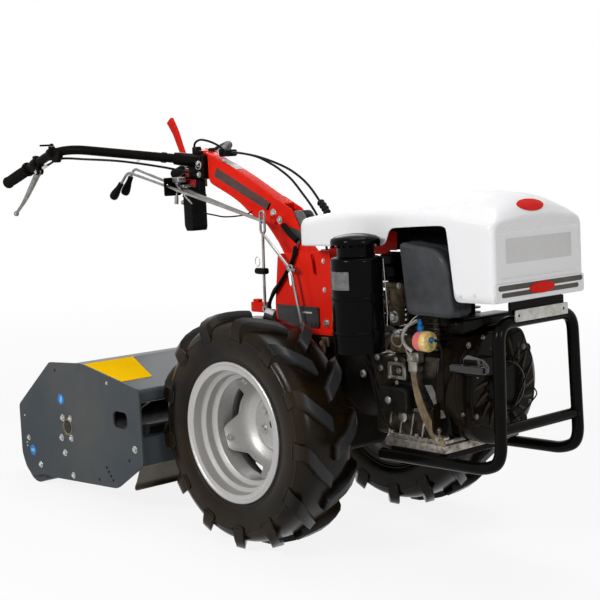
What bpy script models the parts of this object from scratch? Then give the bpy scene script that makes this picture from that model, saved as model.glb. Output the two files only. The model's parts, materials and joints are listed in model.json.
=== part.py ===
"""Two-wheel tractor with a flail mulcher on its rear power take-off.

The pieces are drawn in the machine's own straight frame: metres, +X towards the engine end, +Y to the
machine's left, +Z up, with the wheel axle above x = 0. The whole machine then stands nose-up on two
tyres and the mulcher's roller, as it does on flat ground.
"""

import math

import bmesh
import bpy
import numpy as np
from mathutils import Matrix, Vector

# Clearances
GAP = 0.0003
BORE_GAP = 0.0004

# Wheels
TYRE_RADIUS = 0.284
TYRE_WIDTH = 0.163
TYRE_WALL = 0.012
LUG_HEIGHT = 0.018
LUG_WIDTH = 0.030
LUGS_A_SIDE = 13
LUG_PHASE = 14.5
TRACK = 0.5246
BEAD_RADIUS = 0.152
FLANGE_RADIUS = 0.1685
RIM_WIDTH = 0.151
WELL_RADIUS = 0.127
RIM_SHEET = 0.0035
ROUND_STEPS = 30
DISC_SHEET = 0.005
DISC_INSET = 0.057
HUB_RADIUS = 0.062
SHAFT_RADIUS = 0.020

# Transmission
TRUMPET_RADIUS = 0.050
TRUMPET_REACH = 0.165
GEARBOX_HALF_WIDTH = 0.078
GEARBOX_REAR = -0.150
GEARBOX_FRONT = 0.110
GEARBOX_BOTTOM = 0.200
GEARBOX_TOP = 0.489
PTO_HEIGHT = 0.280

# Engine
CRANK_HEIGHT = 0.402
CRANK_RADIUS = 0.018
ENGINE_REAR = 0.246
BLOCK_FRONT = 0.465
BLOCK_HALF_WIDTH = 0.110
BASE_HALF_WIDTH = 0.130
BASE_BOTTOM = 0.258
BLOCK_TOP = 0.470
BARREL_TOP = 0.590
HEAD_TOP = 0.6997
HEAD_HALF_WIDTH = 0.085
SHROUD_RADIUS = 0.134
SHROUD_FRONT = 0.523
GUIDE_REACH = -0.120
FILTER_X = 0.320
FILTER_Y = -0.217
FILTER_RADIUS = 0.0578
FILTER_FOOT = 0.485
CAP_TOP = 0.744
INTAKE_X = 0.345

# Hood and bumper
HOOD_FRONT = 0.657
HOOD_HALF_WIDTH = 0.154
HOOD_SHEET = 0.003
BUMPER_TUBE = 0.0135
BUMPER_HALF_WIDTH = 0.134

# Handlebar
COLUMN_HALF_WIDTH = 0.020
COLUMN_SHEET = 0.003
CHEEK = 0.003
PIVOT = Vector((-0.176, 0.0, 0.767))
HANDLE_TUBE = 0.0125
HANDLE_SPREAD = 0.300
HANDLE_BEND = (-0.732, 0.979)
HANDLE_END = (-1.024, 0.890)

# Mulcher
MULCHER_WIDTH = 0.800
PLATE = 0.006
DECK_SHEET = 0.005
BELT_CASE_DEPTH = 0.036
ROTOR_AXIS = (-0.623, 0.236)
ROTOR_TUBE = 0.035
ROTOR_STUB = 0.0165
FLAIL_REACH = 0.112
FLAILS = 14
ROLLER_AXIS = (-0.815, 0.1105)
ROLLER_RADIUS = 0.055

RIGHT, LEFT = -1, 1
X, Y, Z = Vector((1, 0, 0)), Vector((0, 1, 0)), Vector((0, 0, 1))
SEATS = {
    "X": lambda a, b, c: (c, a, b),
    "Y": lambda a, b, c: (a, c, b),
    "Z": lambda a, b, c: (a, b, c),
}

for thing in list(bpy.data.objects):
    bpy.data.objects.remove(thing, do_unlink=True)

# The point in the machine's frame at which each empty stands, by the empty's name.
stands_at = {}


def paint(name, colour, roughness, metallic=0.0):
    """A plain Principled material."""
    made = bpy.data.materials.new(name)
    made.use_nodes = True
    shader = made.node_tree.nodes["Principled BSDF"]
    shader.inputs["Base Color"].default_value = (*colour, 1.0)
    shader.inputs["Roughness"].default_value = roughness
    shader.inputs["Metallic"].default_value = metallic
    made.diffuse_color = (*colour, 1.0)
    return made


RUBBER = paint("tyre_rubber", (0.020, 0.020, 0.021), 0.75)
GRIP_RUBBER = paint("grip_rubber", (0.015, 0.015, 0.016), 0.65)
SILVER = paint("silver_paint", (0.50, 0.51, 0.53), 0.42, 0.3)
CAST = paint("dark_cast_iron", (0.030, 0.031, 0.033), 0.55, 0.2)
RED = paint("red_paint", (0.80, 0.020, 0.010), 0.30)
WHITE = paint("white_plastic", (0.80, 0.80, 0.81), 0.28)
BLACK = paint("black_paint", (0.010, 0.010, 0.011), 0.30)
ALUMINIUM = paint("cast_aluminium", (0.34, 0.33, 0.31), 0.45, 0.8)
GREY_BOX = paint("crinkle_grey", (0.045, 0.047, 0.050), 0.60)
STEEL = paint("zinc_steel", (0.55, 0.55, 0.56), 0.30, 0.9)
SLATE = paint("slate_paint", (0.085, 0.105, 0.125), 0.38)
TANK = paint("black_tank_plastic", (0.020, 0.020, 0.022), 0.50)
FILTER_RED = paint("filter_red_plastic", (0.55, 0.09, 0.07), 0.40)


def axis_at(name, point, parent=None):
    """An empty that stands on a joint's axis."""
    empty = bpy.data.objects.new(name, None)
    bpy.context.scene.collection.objects.link(empty)
    empty.empty_display_size = 0.05
    if parent:
        empty.parent = parent
        empty.location = Vector(point) - stands_at[parent.name]
    stands_at[name] = Vector(point)
    return empty


def solid(name, shape, finish, parent):
    """A bmesh in the machine's frame turned into a named object under its parent."""
    bmesh.ops.remove_doubles(shape, verts=shape.verts, dist=1e-6)
    bmesh.ops.recalc_face_normals(shape, faces=shape.faces)
    if shape.calc_volume(signed=True) < 0:
        bmesh.ops.reverse_faces(shape, faces=shape.faces)
    mesh = bpy.data.meshes.new(name)
    shape.to_mesh(mesh)
    shape.free()
    mesh.materials.append(finish)
    mesh.shade_smooth()
    mesh.set_sharp_from_angle(angle=math.radians(32))
    piece = bpy.data.objects.new(name, mesh)
    bpy.context.scene.collection.objects.link(piece)
    piece.parent = parent
    piece.location = -stands_at[parent.name]
    return piece


def combine(base, operation, tools):
    """Adds a Boolean to the base for each tool, which then stays a hidden helper."""
    for tool in tools:
        step = base.modifiers.new(tool.name, "BOOLEAN")
        step.operation = operation
        step.object = tool
        tool.hide_render = True
        tool.display_type = "WIRE"
    return base


def fused(base, *tools):
    return combine(base, "UNION", tools)


def bored(base, *tools):
    return combine(base, "DIFFERENCE", tools)


def turned(name, profile, centre, direction, finish, parent, steps=28):
    """A solid of revolution: the profile is (radius, distance along the axis) pairs round a section."""
    centre, direction = Vector(centre), Vector(direction).normalized()
    down = -Z if abs(direction.z) < 0.9 else -Y
    out = (down - down.dot(direction) * direction).normalized()
    shape = bmesh.new()
    ring = [shape.verts.new(centre + out * r + direction * s) for r, s in profile]
    edges = []
    for i, vert in enumerate(ring):
        following = (i + 1) % len(ring)
        if profile[i][0] > 0 or profile[following][0] > 0:
            edges.append(shape.edges.new((vert, ring[following])))
    bmesh.ops.spin(
        shape,
        geom=ring + edges,
        cent=centre,
        axis=direction,
        dvec=(0, 0, 0),
        angle=2 * math.pi,
        steps=steps,
        use_merge=True,
        use_duplicate=False,
    )
    return solid(name, shape, finish, parent)


def rod(name, radius, start, end, finish, parent, steps=16):
    """A plain round bar between two points."""
    start, end = Vector(start), Vector(end)
    length = (end - start).length
    profile = [(0, 0), (radius, 0), (radius, length), (0, length)]
    return turned(name, profile, start, end - start, finish, parent, steps)


def prism(name, outline, across, low, high, finish, parent, edge=0.0):
    """A closed outline pushed from low to high along one axis, with its long edges rounded by edge."""
    seat = SEATS[across]
    shape = bmesh.new()
    face = shape.faces.new([shape.verts.new(seat(a, b, low)) for a, b in outline])
    pushed = bmesh.ops.extrude_face_region(shape, geom=[face])
    far = [v for v in pushed["geom"] if isinstance(v, bmesh.types.BMVert)]
    bmesh.ops.translate(shape, verts=far, vec=Vector(seat(0, 0, high - low)))
    if edge:
        run = Vector(seat(0, 0, 1))
        long_edges = [
            e for e in shape.edges if abs((e.verts[1].co - e.verts[0].co).normalized().dot(run)) > 0.99
        ]
        bmesh.ops.bevel(shape, geom=long_edges, offset=edge, segments=3, profile=0.5, affect="EDGES")
    return solid(name, shape, finish, parent)


def block(name, low, high, finish, parent, edge=0.0):
    """A box between two corners, with every edge rounded by edge."""
    shape = bmesh.new()
    bmesh.ops.create_cube(shape, size=1.0)
    size = Vector(high) - Vector(low)
    middle = (Vector(high) + Vector(low)) / 2
    for vert in shape.verts:
        vert.co = Vector((vert.co[i] * size[i] + middle[i] for i in range(3)))
    if edge:
        bmesh.ops.bevel(shape, geom=shape.edges[:], offset=edge, segments=2, profile=0.5, affect="EDGES")
    return solid(name, shape, finish, parent)


def rounded_path(points, bend, pieces=5):
    """The corners of a path turned to arcs of the bend radius."""
    corners = [Vector(p) for p in points]
    path = [corners[0]]
    for before, corner, after in zip(corners, corners[1:], corners[2:]):
        back, on = before - corner, after - corner
        half = back.angle(on) / 2
        if bend == 0 or half > 1.55:
            path.append(corner)
            continue
        cut = min(bend / math.tan(half), 0.45 * back.length, 0.45 * on.length)
        radius = cut * math.tan(half)
        back.normalize()
        on.normalize()
        centre = corner + (back + on).normalized() * (radius / math.sin(half))
        first = (corner + back * cut - centre).normalized()
        last = (corner + on * cut - centre).normalized()
        path += [centre + first.slerp(last, i / pieces) * radius for i in range(pieces + 1)]
    path.append(corners[-1])
    return path


def smooth_path(points, count):
    """Points spaced evenly along a Catmull-Rom curve through the route's own points."""
    route = np.array(points, float)
    route = np.vstack([2 * route[0] - route[1], route, 2 * route[-1] - route[-2]])
    fine = []
    for p0, p1, p2, p3 in zip(route, route[1:], route[2:], route[3:]):
        for t in np.linspace(0, 1, 24, endpoint=False):
            fine.append(
                0.5
                * (
                    2 * p1
                    + (p2 - p0) * t
                    + (2 * p0 - 5 * p1 + 4 * p2 - p3) * t**2
                    + (3 * p1 - p0 - 3 * p2 + p3) * t**3
                )
            )
    fine.append(route[-2])
    fine = np.array(fine)
    run = np.concatenate([[0], np.cumsum(np.linalg.norm(np.diff(fine, axis=0), axis=1))])
    even = np.linspace(0, run[-1], count)
    return [Vector([np.interp(s, run, fine[:, k]) for k in range(3)]) for s in even]


def tube(name, path, radius, finish, parent, roundness=3):
    """A round bar along a path: a curve with a bevel and filled caps, kept as its mesh."""
    curve = bpy.data.curves.new(name, "CURVE")
    curve.dimensions = "3D"
    curve.bevel_depth = radius
    curve.bevel_resolution = roundness
    curve.use_fill_caps = True
    spline = curve.splines.new("POLY")
    spline.points.add(len(path) - 1)
    for point, place in zip(spline.points, path):
        point.co = (*place, 1.0)
    holder = bpy.data.objects.new(name, curve)
    mesh = bpy.data.meshes.new_from_object(holder)
    bpy.data.objects.remove(holder)
    bpy.data.curves.remove(curve)
    shape = bmesh.new()
    shape.from_mesh(mesh)
    bpy.data.meshes.remove(mesh)
    return solid(name, shape, finish, parent)


def strip(points, thickness):
    """The closed outline of bent sheet: the given line, and the same line moved in by the thickness."""
    line = [Vector(p) for p in points]
    inner = []
    for i, point in enumerate(line):
        sides = []
        if i > 0:
            sides.append((point - line[i - 1]).normalized())
        if i < len(line) - 1:
            sides.append((line[i + 1] - point).normalized())
        normals = [Vector((s.y, -s.x)) for s in sides]
        mean = sum(normals, Vector((0, 0))).normalized()
        inner.append(point + mean * thickness / mean.dot(normals[0]))
    return [tuple(p) for p in line] + [tuple(p) for p in reversed(inner)]


def arc(centre, radius, start, end, pieces):
    """Points along an arc in a plane, with its angles in degrees."""
    angles = [math.radians(start + (end - start) * i / pieces) for i in range(pieces + 1)]
    return [(centre[0] + radius * math.cos(a), centre[1] + radius * math.sin(a)) for a in angles]


def slot_outline(start, end, radius, pieces=6):
    """The outline of a slot: two half circles joined by straight sides."""
    angle = math.degrees(math.atan2(end[1] - start[1], end[0] - start[0]))
    first = arc(start, radius, angle + 90, angle + 270, pieces)
    return first + arc(end, radius, angle - 90, angle + 90, pieces)


def nose_up_angle():
    """The turn about the axle that brings the roller's lowest line to the tyres' level."""
    behind = ROLLER_AXIS[0]
    below = ROLLER_AXIS[1] - TYRE_RADIUS
    sink = (ROLLER_RADIUS - TYRE_RADIUS) / math.hypot(behind, below)
    return -math.pi - math.asin(sink) - math.atan2(below, behind)


AXLE = Vector((0, 0, TYRE_RADIUS))
stance = axis_at("stance", AXLE)


# Wheels: an open ag tyre on a stepped steel rim, a four-armed dished disc and a half shaft


def tyre(name, side, parent):
    """The ring of the carcass with its chevron lugs, which slope the same way on both wheels."""
    centre = AXLE + side * Y * TRACK / 2
    half = TYRE_WIDTH / 2
    crown = TYRE_RADIUS - LUG_HEIGHT
    bead = BEAD_RADIUS + BORE_GAP
    rise = crown - bead
    shoulder = [
        (bead, RIM_WIDTH / 2 - 0.0080),
        (FLANGE_RADIUS - 0.0003, RIM_WIDTH / 2 - 0.0040),
        (bead + 0.33 * rise, 0.97 * half),
        (bead + 0.55 * rise, half),
        (bead + 0.77 * rise, 0.97 * half),
        (bead + 0.93 * rise, 0.86 * half),
        (crown, 0.40 * half),
    ]
    inside = [
        (crown - TYRE_WALL, 0.40 * half),
        (bead + 0.78 * rise, half - 1.6 * TYRE_WALL),
        (bead + 0.50 * rise, half - TYRE_WALL),
        (bead + 0.18 * rise, 0.80 * half - TYRE_WALL),
        (bead, RIM_WIDTH / 2 - 0.024),
    ]
    outer = [(r, s) for r, s in shoulder] + [(r, -s) for r, s in reversed(shoulder)]
    inner = [(r, -s) for r, s in reversed(inside)] + [(r, s) for r, s in inside]
    carcass = turned(name, outer + inner, centre, Y, RUBBER, parent, steps=ROUND_STEPS)
    stations = [
        (0.004, 0.0, TYRE_RADIUS, crown - 0.45 * TYRE_WALL),
        (0.62 * half, 0.56, TYRE_RADIUS, crown - 0.45 * TYRE_WALL),
        (0.97 * half, 1.0, TYRE_RADIUS - 0.026, crown - 0.026),
    ]
    sweep = math.radians(17)
    shape = bmesh.new()
    for lug in range(2 * LUGS_A_SIDE):
        flank = LEFT if lug % 2 else RIGHT
        start = math.pi * lug / LUGS_A_SIDE + math.radians(LUG_PHASE - 90)
        rings = []
        for across, share, top, bottom in stations:
            middle = start + sweep * share
            ring = []
            for radius, turn in ((top, -1), (top, 1), (bottom, 1.25), (bottom, -1.25)):
                angle = middle + turn * LUG_WIDTH / 2 / TYRE_RADIUS
                spot = Vector((math.cos(angle), 0, math.sin(angle))) * radius
                ring.append(shape.verts.new(centre + spot + flank * across * Y))
            rings.append(ring)
        for near, far in zip(rings, rings[1:]):
            for i in range(4):
                shape.faces.new((near[i], near[(i + 1) % 4], far[(i + 1) % 4], far[i]))
        shape.faces.new(rings[0])
        shape.faces.new(rings[-1])
    lugs = solid(name + "_lugs", shape, RUBBER, parent)
    return fused(carcass, lugs)


def rim(name, side, parent):
    """Two flanges, bead seats, a second ledge and a deep well, pressed from one sheet."""
    half = RIM_WIDTH / 2
    seat, ledge = BEAD_RADIUS, (BEAD_RADIUS + WELL_RADIUS) / 2
    flange_in = half - RIM_SHEET
    tyre_face = [
        (FLANGE_RADIUS, flange_in),
        (seat, flange_in - 0.004),
        (seat - 0.001, 0.048),
        (ledge, 0.042),
        (ledge, 0.022),
        (WELL_RADIUS, 0.016),
        (WELL_RADIUS, -0.024),
        (seat - 0.001, -0.036),
        (seat, 0.004 - flange_in),
        (FLANGE_RADIUS, -flange_in),
    ]
    air_face = [
        (FLANGE_RADIUS, -half),
        (seat - RIM_SHEET, -half + 0.001),
        (seat - RIM_SHEET - 0.001, -0.039),
        (WELL_RADIUS - RIM_SHEET, -0.027),
        (WELL_RADIUS - RIM_SHEET, 0.019),
        (ledge - RIM_SHEET, 0.0255),
        (ledge - RIM_SHEET, 0.0445),
        (seat - RIM_SHEET - 0.001, 0.0505),
        (seat - RIM_SHEET, half - 0.001),
        (FLANGE_RADIUS, half),
    ]
    centre = AXLE + side * Y * TRACK / 2
    return turned(name, tyre_face + air_face, centre, side * Y, SILVER, parent, steps=ROUND_STEPS)


def wheel_disc(name, side, parent):
    """A dished plate cut to four arms, whose tips reach the rim's well."""
    centre = AXLE + side * Y * TRACK / 2
    tip = (WELL_RADIUS - RIM_SHEET) * math.cos(math.pi / ROUND_STEPS) - GAP
    hub = -DISC_INSET
    front = [(0, hub), (0.062, hub), (0.068, hub - 0.0055)]
    front += [(0.088, hub + 0.003), (0.098, hub + 0.014), (tip, 0.001)]
    back = [(r, s - DISC_SHEET) for r, s in reversed(front)]
    dish = turned(name, front + back, centre, side * Y, SILVER, parent, steps=24)
    outline = []
    for arm in range(4):
        middle = 19.0 + 90.0 * arm
        outline += arc((0, AXLE.z), 1.05 * tip, middle - 9, middle + 9, 2)
        outline += arc((0, AXLE.z), 0.66 * tip, middle + 31, middle + 59, 3)
    star = prism(name + "_star", outline, "Y", centre.y - 0.1, centre.y + 0.1, SILVER, parent)
    return combine(dish, "INTERSECT", [star])


def half_shaft(name, side, parent):
    """The hub flange behind the disc, and the shaft that runs in to the axle housing."""
    flange = TRACK / 2 - DISC_INSET - DISC_SHEET - GAP
    profile = [
        (0, TRUMPET_REACH + GAP),
        (SHAFT_RADIUS, TRUMPET_REACH + GAP),
        (SHAFT_RADIUS, flange - 0.030),
        (0.032, flange - 0.012),
        (0.054, flange - 0.012),
        (0.054, flange),
        (0, flange),
    ]
    return turned(name, profile, AXLE, side * Y, CAST, parent, steps=20)


for side, word in ((RIGHT, "right"), (LEFT, "left")):
    hub = axis_at(f"wheel_{word}_axis", AXLE + side * Y * TRACK / 2, stance)
    tyre(f"tyre_{word}", side, hub)
    rim(f"rim_{word}", side, hub)
    wheel_disc(f"wheel_disc_{word}", side, hub)
    half_shaft(f"half_shaft_{word}", side, hub)


# Transmission: gearbox with its axle trumpets and take-off boss, and the clutch housing


def gearbox():
    case = block(
        "gearbox_housing",
        (GEARBOX_REAR, -GEARBOX_HALF_WIDTH, GEARBOX_BOTTOM),
        (GEARBOX_FRONT, GEARBOX_HALF_WIDTH, GEARBOX_TOP),
        CAST,
        stance,
        edge=0.014,
    )
    step = 0.012
    trumpets = turned(
        "trumpets",
        [
            (0, -TRUMPET_REACH),
            (HUB_RADIUS, -TRUMPET_REACH),
            (HUB_RADIUS, step - TRUMPET_REACH),
            (TRUMPET_RADIUS, step - TRUMPET_REACH),
            (TRUMPET_RADIUS, TRUMPET_REACH - step),
            (HUB_RADIUS, TRUMPET_REACH - step),
            (HUB_RADIUS, TRUMPET_REACH),
            (0, TRUMPET_REACH),
        ],
        AXLE,
        Y,
        CAST,
        stance,
        steps=20,
    )
    boss_rear, boss_front = (GEARBOX_REAR - 0.0147, 0, PTO_HEIGHT), (GEARBOX_REAR + 0.03, 0, PTO_HEIGHT)
    boss = rod("take_off_boss", 0.046, boss_rear, boss_front, CAST, stance)
    return fused(case, trumpets, boss)


gearbox()
turned(
    "clutch_housing",
    [
        (0, GEARBOX_FRONT + GAP),
        (0.112, GEARBOX_FRONT + GAP),
        (0.112, 0.165),
        (0.093, 0.185),
        (0.093, ENGINE_REAR - 0.012),
        (0.093, ENGINE_REAR - GAP),
        (0, ENGINE_REAR - GAP),
    ],
    (0, 0, CRANK_HEIGHT),
    X,
    CAST,
    stance,
)


# Turret: the red bracket on the gearbox, its cover plate, and the mount that carries the column's pin

BRACKET_HALF_WIDTH = 0.075
BRACKET_WALL = 0.005
BASE_TOP = GEARBOX_TOP + GAP + 0.012


def turret_bracket():
    """Two side walls and a front wall on a base plate, with a slot in each side."""
    half = BRACKET_HALF_WIDTH
    floor = GEARBOX_TOP + GAP
    outline = [(-0.125, floor), (0.086, floor), (0.086, 0.697), (-0.108, 0.684), (-0.125, 0.560)]
    body = prism("turret_bracket", outline, "Y", -half, half, RED, stance)
    inside = [(-0.16, BASE_TOP), (0.080, BASE_TOP), (0.080, 0.75), (-0.16, 0.75)]
    hollow = prism("bracket_hollow", inside, "Y", BRACKET_WALL - half, half - BRACKET_WALL, RED, stance)
    across = 1.5 * half
    front_slot = slot_outline((0.028, 0.640), (0.022, 0.680), 0.006)
    slot = prism("bracket_slot", front_slot, "Y", -across, across, RED, stance)
    rear_slot = slot_outline((-0.066, 0.610), (-0.071, 0.650), 0.006)
    rear = prism("bracket_slot_rear", rear_slot, "Y", -across, across, RED, stance)
    return bored(body, hollow, slot, rear)


def column_mount():
    """The casting that stands inside the bracket and ends in the pin that the column turns on."""
    wall = COLUMN_HALF_WIDTH - COLUMN_SHEET - CHEEK - 3 * GAP
    outline = [(-0.105, BASE_TOP + GAP), (0.060, BASE_TOP + GAP), (0.045, 0.600), (-0.070, 0.705)]
    outline += arc((PIVOT.x, PIVOT.z), 0.024, 10, 190, 6) + [(-0.192, 0.735), (-0.125, 0.640)]
    body = prism("column_mount", outline, "Y", -wall, wall, CAST, stance)
    reach = COLUMN_HALF_WIDTH + GAP
    pin = turned(
        "column_pin",
        [
            (0, -reach - 0.006),
            (0.012, -reach - 0.006),
            (0.012, -reach),
            (0.008, -reach),
            (0.008, reach),
            (0.012, reach),
            (0.012, reach + 0.006),
            (0, reach + 0.006),
        ],
        PIVOT,
        Y,
        STEEL,
        stance,
        steps=16,
    )
    return fused(body, pin)


turret_bracket()
column_mount()
block(
    "cover_plate",
    (-0.112, -BRACKET_HALF_WIDTH - GAP - 0.006, 0.504),
    (0.040, -BRACKET_HALF_WIDTH - GAP, 0.556),
    GREY_BOX,
    stance,
    edge=0.002,
)


# Engine: crankcase, finned barrel, head, shroud with starter, exhaust box, air cleaner and tank


def crankcase():
    body = block(
        "crankcase",
        (ENGINE_REAR + 0.008, -BLOCK_HALF_WIDTH, BASE_BOTTOM + 0.02),
        (BLOCK_FRONT, BLOCK_HALF_WIDTH, BLOCK_TOP),
        ALUMINIUM,
        stance,
        edge=0.010,
    )
    base = block(
        "crankcase_base",
        (0.300, -BASE_HALF_WIDTH, BASE_BOTTOM),
        (BLOCK_FRONT + 0.018, BASE_HALF_WIDTH, BASE_BOTTOM + 0.030),
        ALUMINIUM,
        stance,
        edge=0.003,
    )
    flange_rear, flange_front = (ENGINE_REAR, 0, CRANK_HEIGHT), (ENGINE_REAR + 0.024, 0, CRANK_HEIGHT)
    flange = rod("crankcase_flange", 0.105, flange_rear, flange_front, ALUMINIUM, stance, 24)
    saddle = block("filter_saddle", (0.428, -0.150, 0.440), (0.442, -0.095, 0.4812), ALUMINIUM, stance)
    pump_low, pump_high = (0.285, -0.140, 0.405), (0.335, -0.100, 0.468)
    pump = block("injection_pump", pump_low, pump_high, ALUMINIUM, stance, edge=0.005)
    ribs = [
        prism(
            f"base_rib_{i}",
            [(-BASE_HALF_WIDTH, BASE_BOTTOM + 0.02), (-0.10, BASE_BOTTOM + 0.02), (-0.10, 0.345)],
            "X",
            0.312 + 0.034 * i,
            0.317 + 0.034 * i,
            ALUMINIUM,
            stance,
        )
        for i in range(5)
    ]
    bore_ends = (ENGINE_REAR - 0.05, 0, CRANK_HEIGHT), (BLOCK_FRONT + 0.1, 0, CRANK_HEIGHT)
    bore = rod("crank_bore", CRANK_RADIUS + BORE_GAP, *bore_ends, ALUMINIUM, stance)
    room = rod(
        "shroud_room",
        SHROUD_RADIUS + 0.002,
        (BLOCK_FRONT, 0, CRANK_HEIGHT),
        (BLOCK_FRONT + 0.1, 0, CRANK_HEIGHT),
        ALUMINIUM,
        stance,
        28,
    )
    fused(body, base, flange, pump, saddle, *ribs)
    return bored(body, bore, room)


def cylinder_barrel():
    """A finned barrel: the fins run round the front and rear faces."""
    outline = []
    pitch = (BARREL_TOP - BLOCK_TOP - 2 * GAP) / 6
    for i in range(6):
        low = BLOCK_TOP + GAP + i * pitch
        step, high = low + 0.4 * pitch, low + pitch
        outline += [(0.300, low), (0.300, step), (0.316, step), (0.316, high)]
    front = [(0.730 - a, b) for a, b in reversed(outline)]
    return prism("cylinder_barrel", outline + front, "Y", -0.078, 0.078, ALUMINIUM, stance)


def fan_shroud():
    """The round black housing over the flywheel, open to the front under the starter cover."""
    rear = BLOCK_FRONT + GAP
    profile = [
        (0.036, rear),
        (SHROUD_RADIUS, rear),
        (SHROUD_RADIUS, SHROUD_FRONT),
        (SHROUD_RADIUS - 0.004, SHROUD_FRONT),
        (SHROUD_RADIUS - 0.004, rear + 0.004),
        (0.036, rear + 0.004),
    ]
    return turned("fan_shroud", profile, (0, 0, CRANK_HEIGHT), X, BLACK, stance)


def starter_cover():
    """A shallow dome with a raised middle, seated on the shroud's rim."""
    seat = SHROUD_FRONT + GAP
    profile = [
        (0, seat + 0.040),
        (0, seat + 0.046),
        (0.052, seat + 0.046),
        (0.060, seat + 0.026),
        (0.110, seat + 0.020),
        (SHROUD_RADIUS, seat + 0.006),
        (SHROUD_RADIUS, seat),
        (0.110, seat),
        (0.106, seat + 0.015),
        (0.056, seat + 0.021),
        (0.049, seat + 0.040),
    ]
    body = turned("starter_cover", profile, (0, 0, CRANK_HEIGHT), X, BLACK, stance)
    guide_low, guide_high = (0.532, GUIDE_REACH, 0.436), (0.582, -0.062, 0.476)
    guide = block("rope_guide", guide_low, guide_high, BLACK, stance, edge=0.004)
    return fused(body, guide)


crankcase()
cylinder_barrel()
block(
    "cylinder_head",
    (0.292, -HEAD_HALF_WIDTH, BARREL_TOP + GAP),
    (0.438, HEAD_HALF_WIDTH, HEAD_TOP),
    ALUMINIUM,
    stance,
    edge=0.008,
)
fan_shroud()
starter_cover()
prism(
    "exhaust_box",
    [(0.389, 0.727), (0.529, 0.709), (0.544, 0.562), (0.407, 0.565)],
    "Y",
    -0.158,
    -HEAD_HALF_WIDTH - GAP,
    GREY_BOX,
    stance,
    edge=0.016,
)
block(
    "side_cover",
    (0.292, -0.140, 0.338),
    (0.385, -BLOCK_HALF_WIDTH - GAP, 0.398),
    GREY_BOX,
    stance,
    edge=0.008,
)
block("fuel_tank", (0.110, -0.066, HEAD_TOP + GAP), (0.345, 0.110, 0.768), TANK, stance, edge=0.014)
turned(
    "fuel_filter",
    [(0, 0.420), (0.020, 0.420), (0.0245, 0.424), (0.0253, 0.444), (0.0245, 0.456), (0, 0.456)],
    (0, -0.136, 0.507),
    X,
    FILTER_RED,
    stance,
    steps=20,
)


def air_cleaner():
    """An upright oil-bath can with two seams and a cap, joined by its elbow to the cylinder head."""
    seam, radius, neck = 0.0015, FILTER_RADIUS, 0.020
    cap = radius - 0.002
    profile = [
        (0, FILTER_FOOT),
        (radius - 0.010, FILTER_FOOT),
        (radius - 0.003, FILTER_FOOT + 0.0055),
        (radius - 0.003, 0.526),
        (radius + seam, 0.528),
        (radius + seam, 0.534),
        (radius, 0.536),
        (radius, 0.603),
        (radius + seam, 0.605),
        (radius + seam, 0.611),
        (radius, 0.613),
        (radius, 0.689),
        (radius - 0.006, 0.697),
        (neck, 0.699),
        (neck, CAP_TOP - 0.0190),
        (cap - 0.001, CAP_TOP - 0.0180),
        (cap, CAP_TOP - 0.0120),
        (0.75 * cap, CAP_TOP - 0.0055),
        (0.40 * cap, CAP_TOP - 0.0015),
        (0, CAP_TOP),
    ]
    can = turned("air_cleaner", profile[::-1], (FILTER_X, FILTER_Y, 0), Z, BLACK, stance)
    port = FILTER_FOOT + 0.173
    corners = [(FILTER_X, FILTER_Y, port), (FILTER_X, -0.140, port), (INTAKE_X, -0.120, port)]
    route = rounded_path([*corners, (INTAKE_X, -HEAD_HALF_WIDTH - GAP, port)], 0.030)
    return fused(can, tube("intake_elbow", route, 0.017, BLACK, stance, roundness=2))


air_cleaner()

crank_axis = axis_at("crank_axis", (BLOCK_FRONT, 0, CRANK_HEIGHT), stance)
rod("crankshaft", CRANK_RADIUS, (0.256, 0, CRANK_HEIGHT), (0.4946, 0, CRANK_HEIGHT), STEEL, crank_axis)


def flywheel():
    """A heavy disc on the shaft's nose with cooling blades round its front face."""
    profile = [(0, 0.495), (0.100, 0.495), (0.100, 0.508), (0.030, 0.508), (0.030, 0.514), (0, 0.514)]
    body = turned("flywheel", profile, (0, 0, CRANK_HEIGHT), X, CAST, crank_axis, steps=24)
    blades = []
    for i in range(8):
        turn = Matrix.Rotation(math.tau * i / 8, 4, "X")
        blade = block(f"fan_blade_{i}", (0.500, 0.060, -0.002), (0.519, 0.118, 0.002), CAST, crank_axis)
        blade.data.transform(Matrix.Translation((0, 0, CRANK_HEIGHT)) @ turn)
        blades.append(blade)
    return fused(body, *blades)


flywheel()

STARTER_GRIP = Vector((0.567, -0.137, CRANK_HEIGHT + 0.054))
starter_axis = axis_at("starter_grip_axis", STARTER_GRIP, stance)
grip_bar = block(
    "starter_grip",
    STARTER_GRIP - Vector((0.048, 0.011, 0.009)),
    STARTER_GRIP + Vector((0.048, 0.011, 0.009)),
    GRIP_RUBBER,
    starter_axis,
    edge=0.006,
)
neck_end = (STARTER_GRIP.x, GUIDE_REACH - GAP, STARTER_GRIP.z)
fused(grip_bar, rod("starter_neck", 0.008, STARTER_GRIP, neck_end, GRIP_RUBBER, starter_axis, 10))


# Hood: one thin shell over the engine, open below and behind, cut away over the exhaust box


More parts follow.
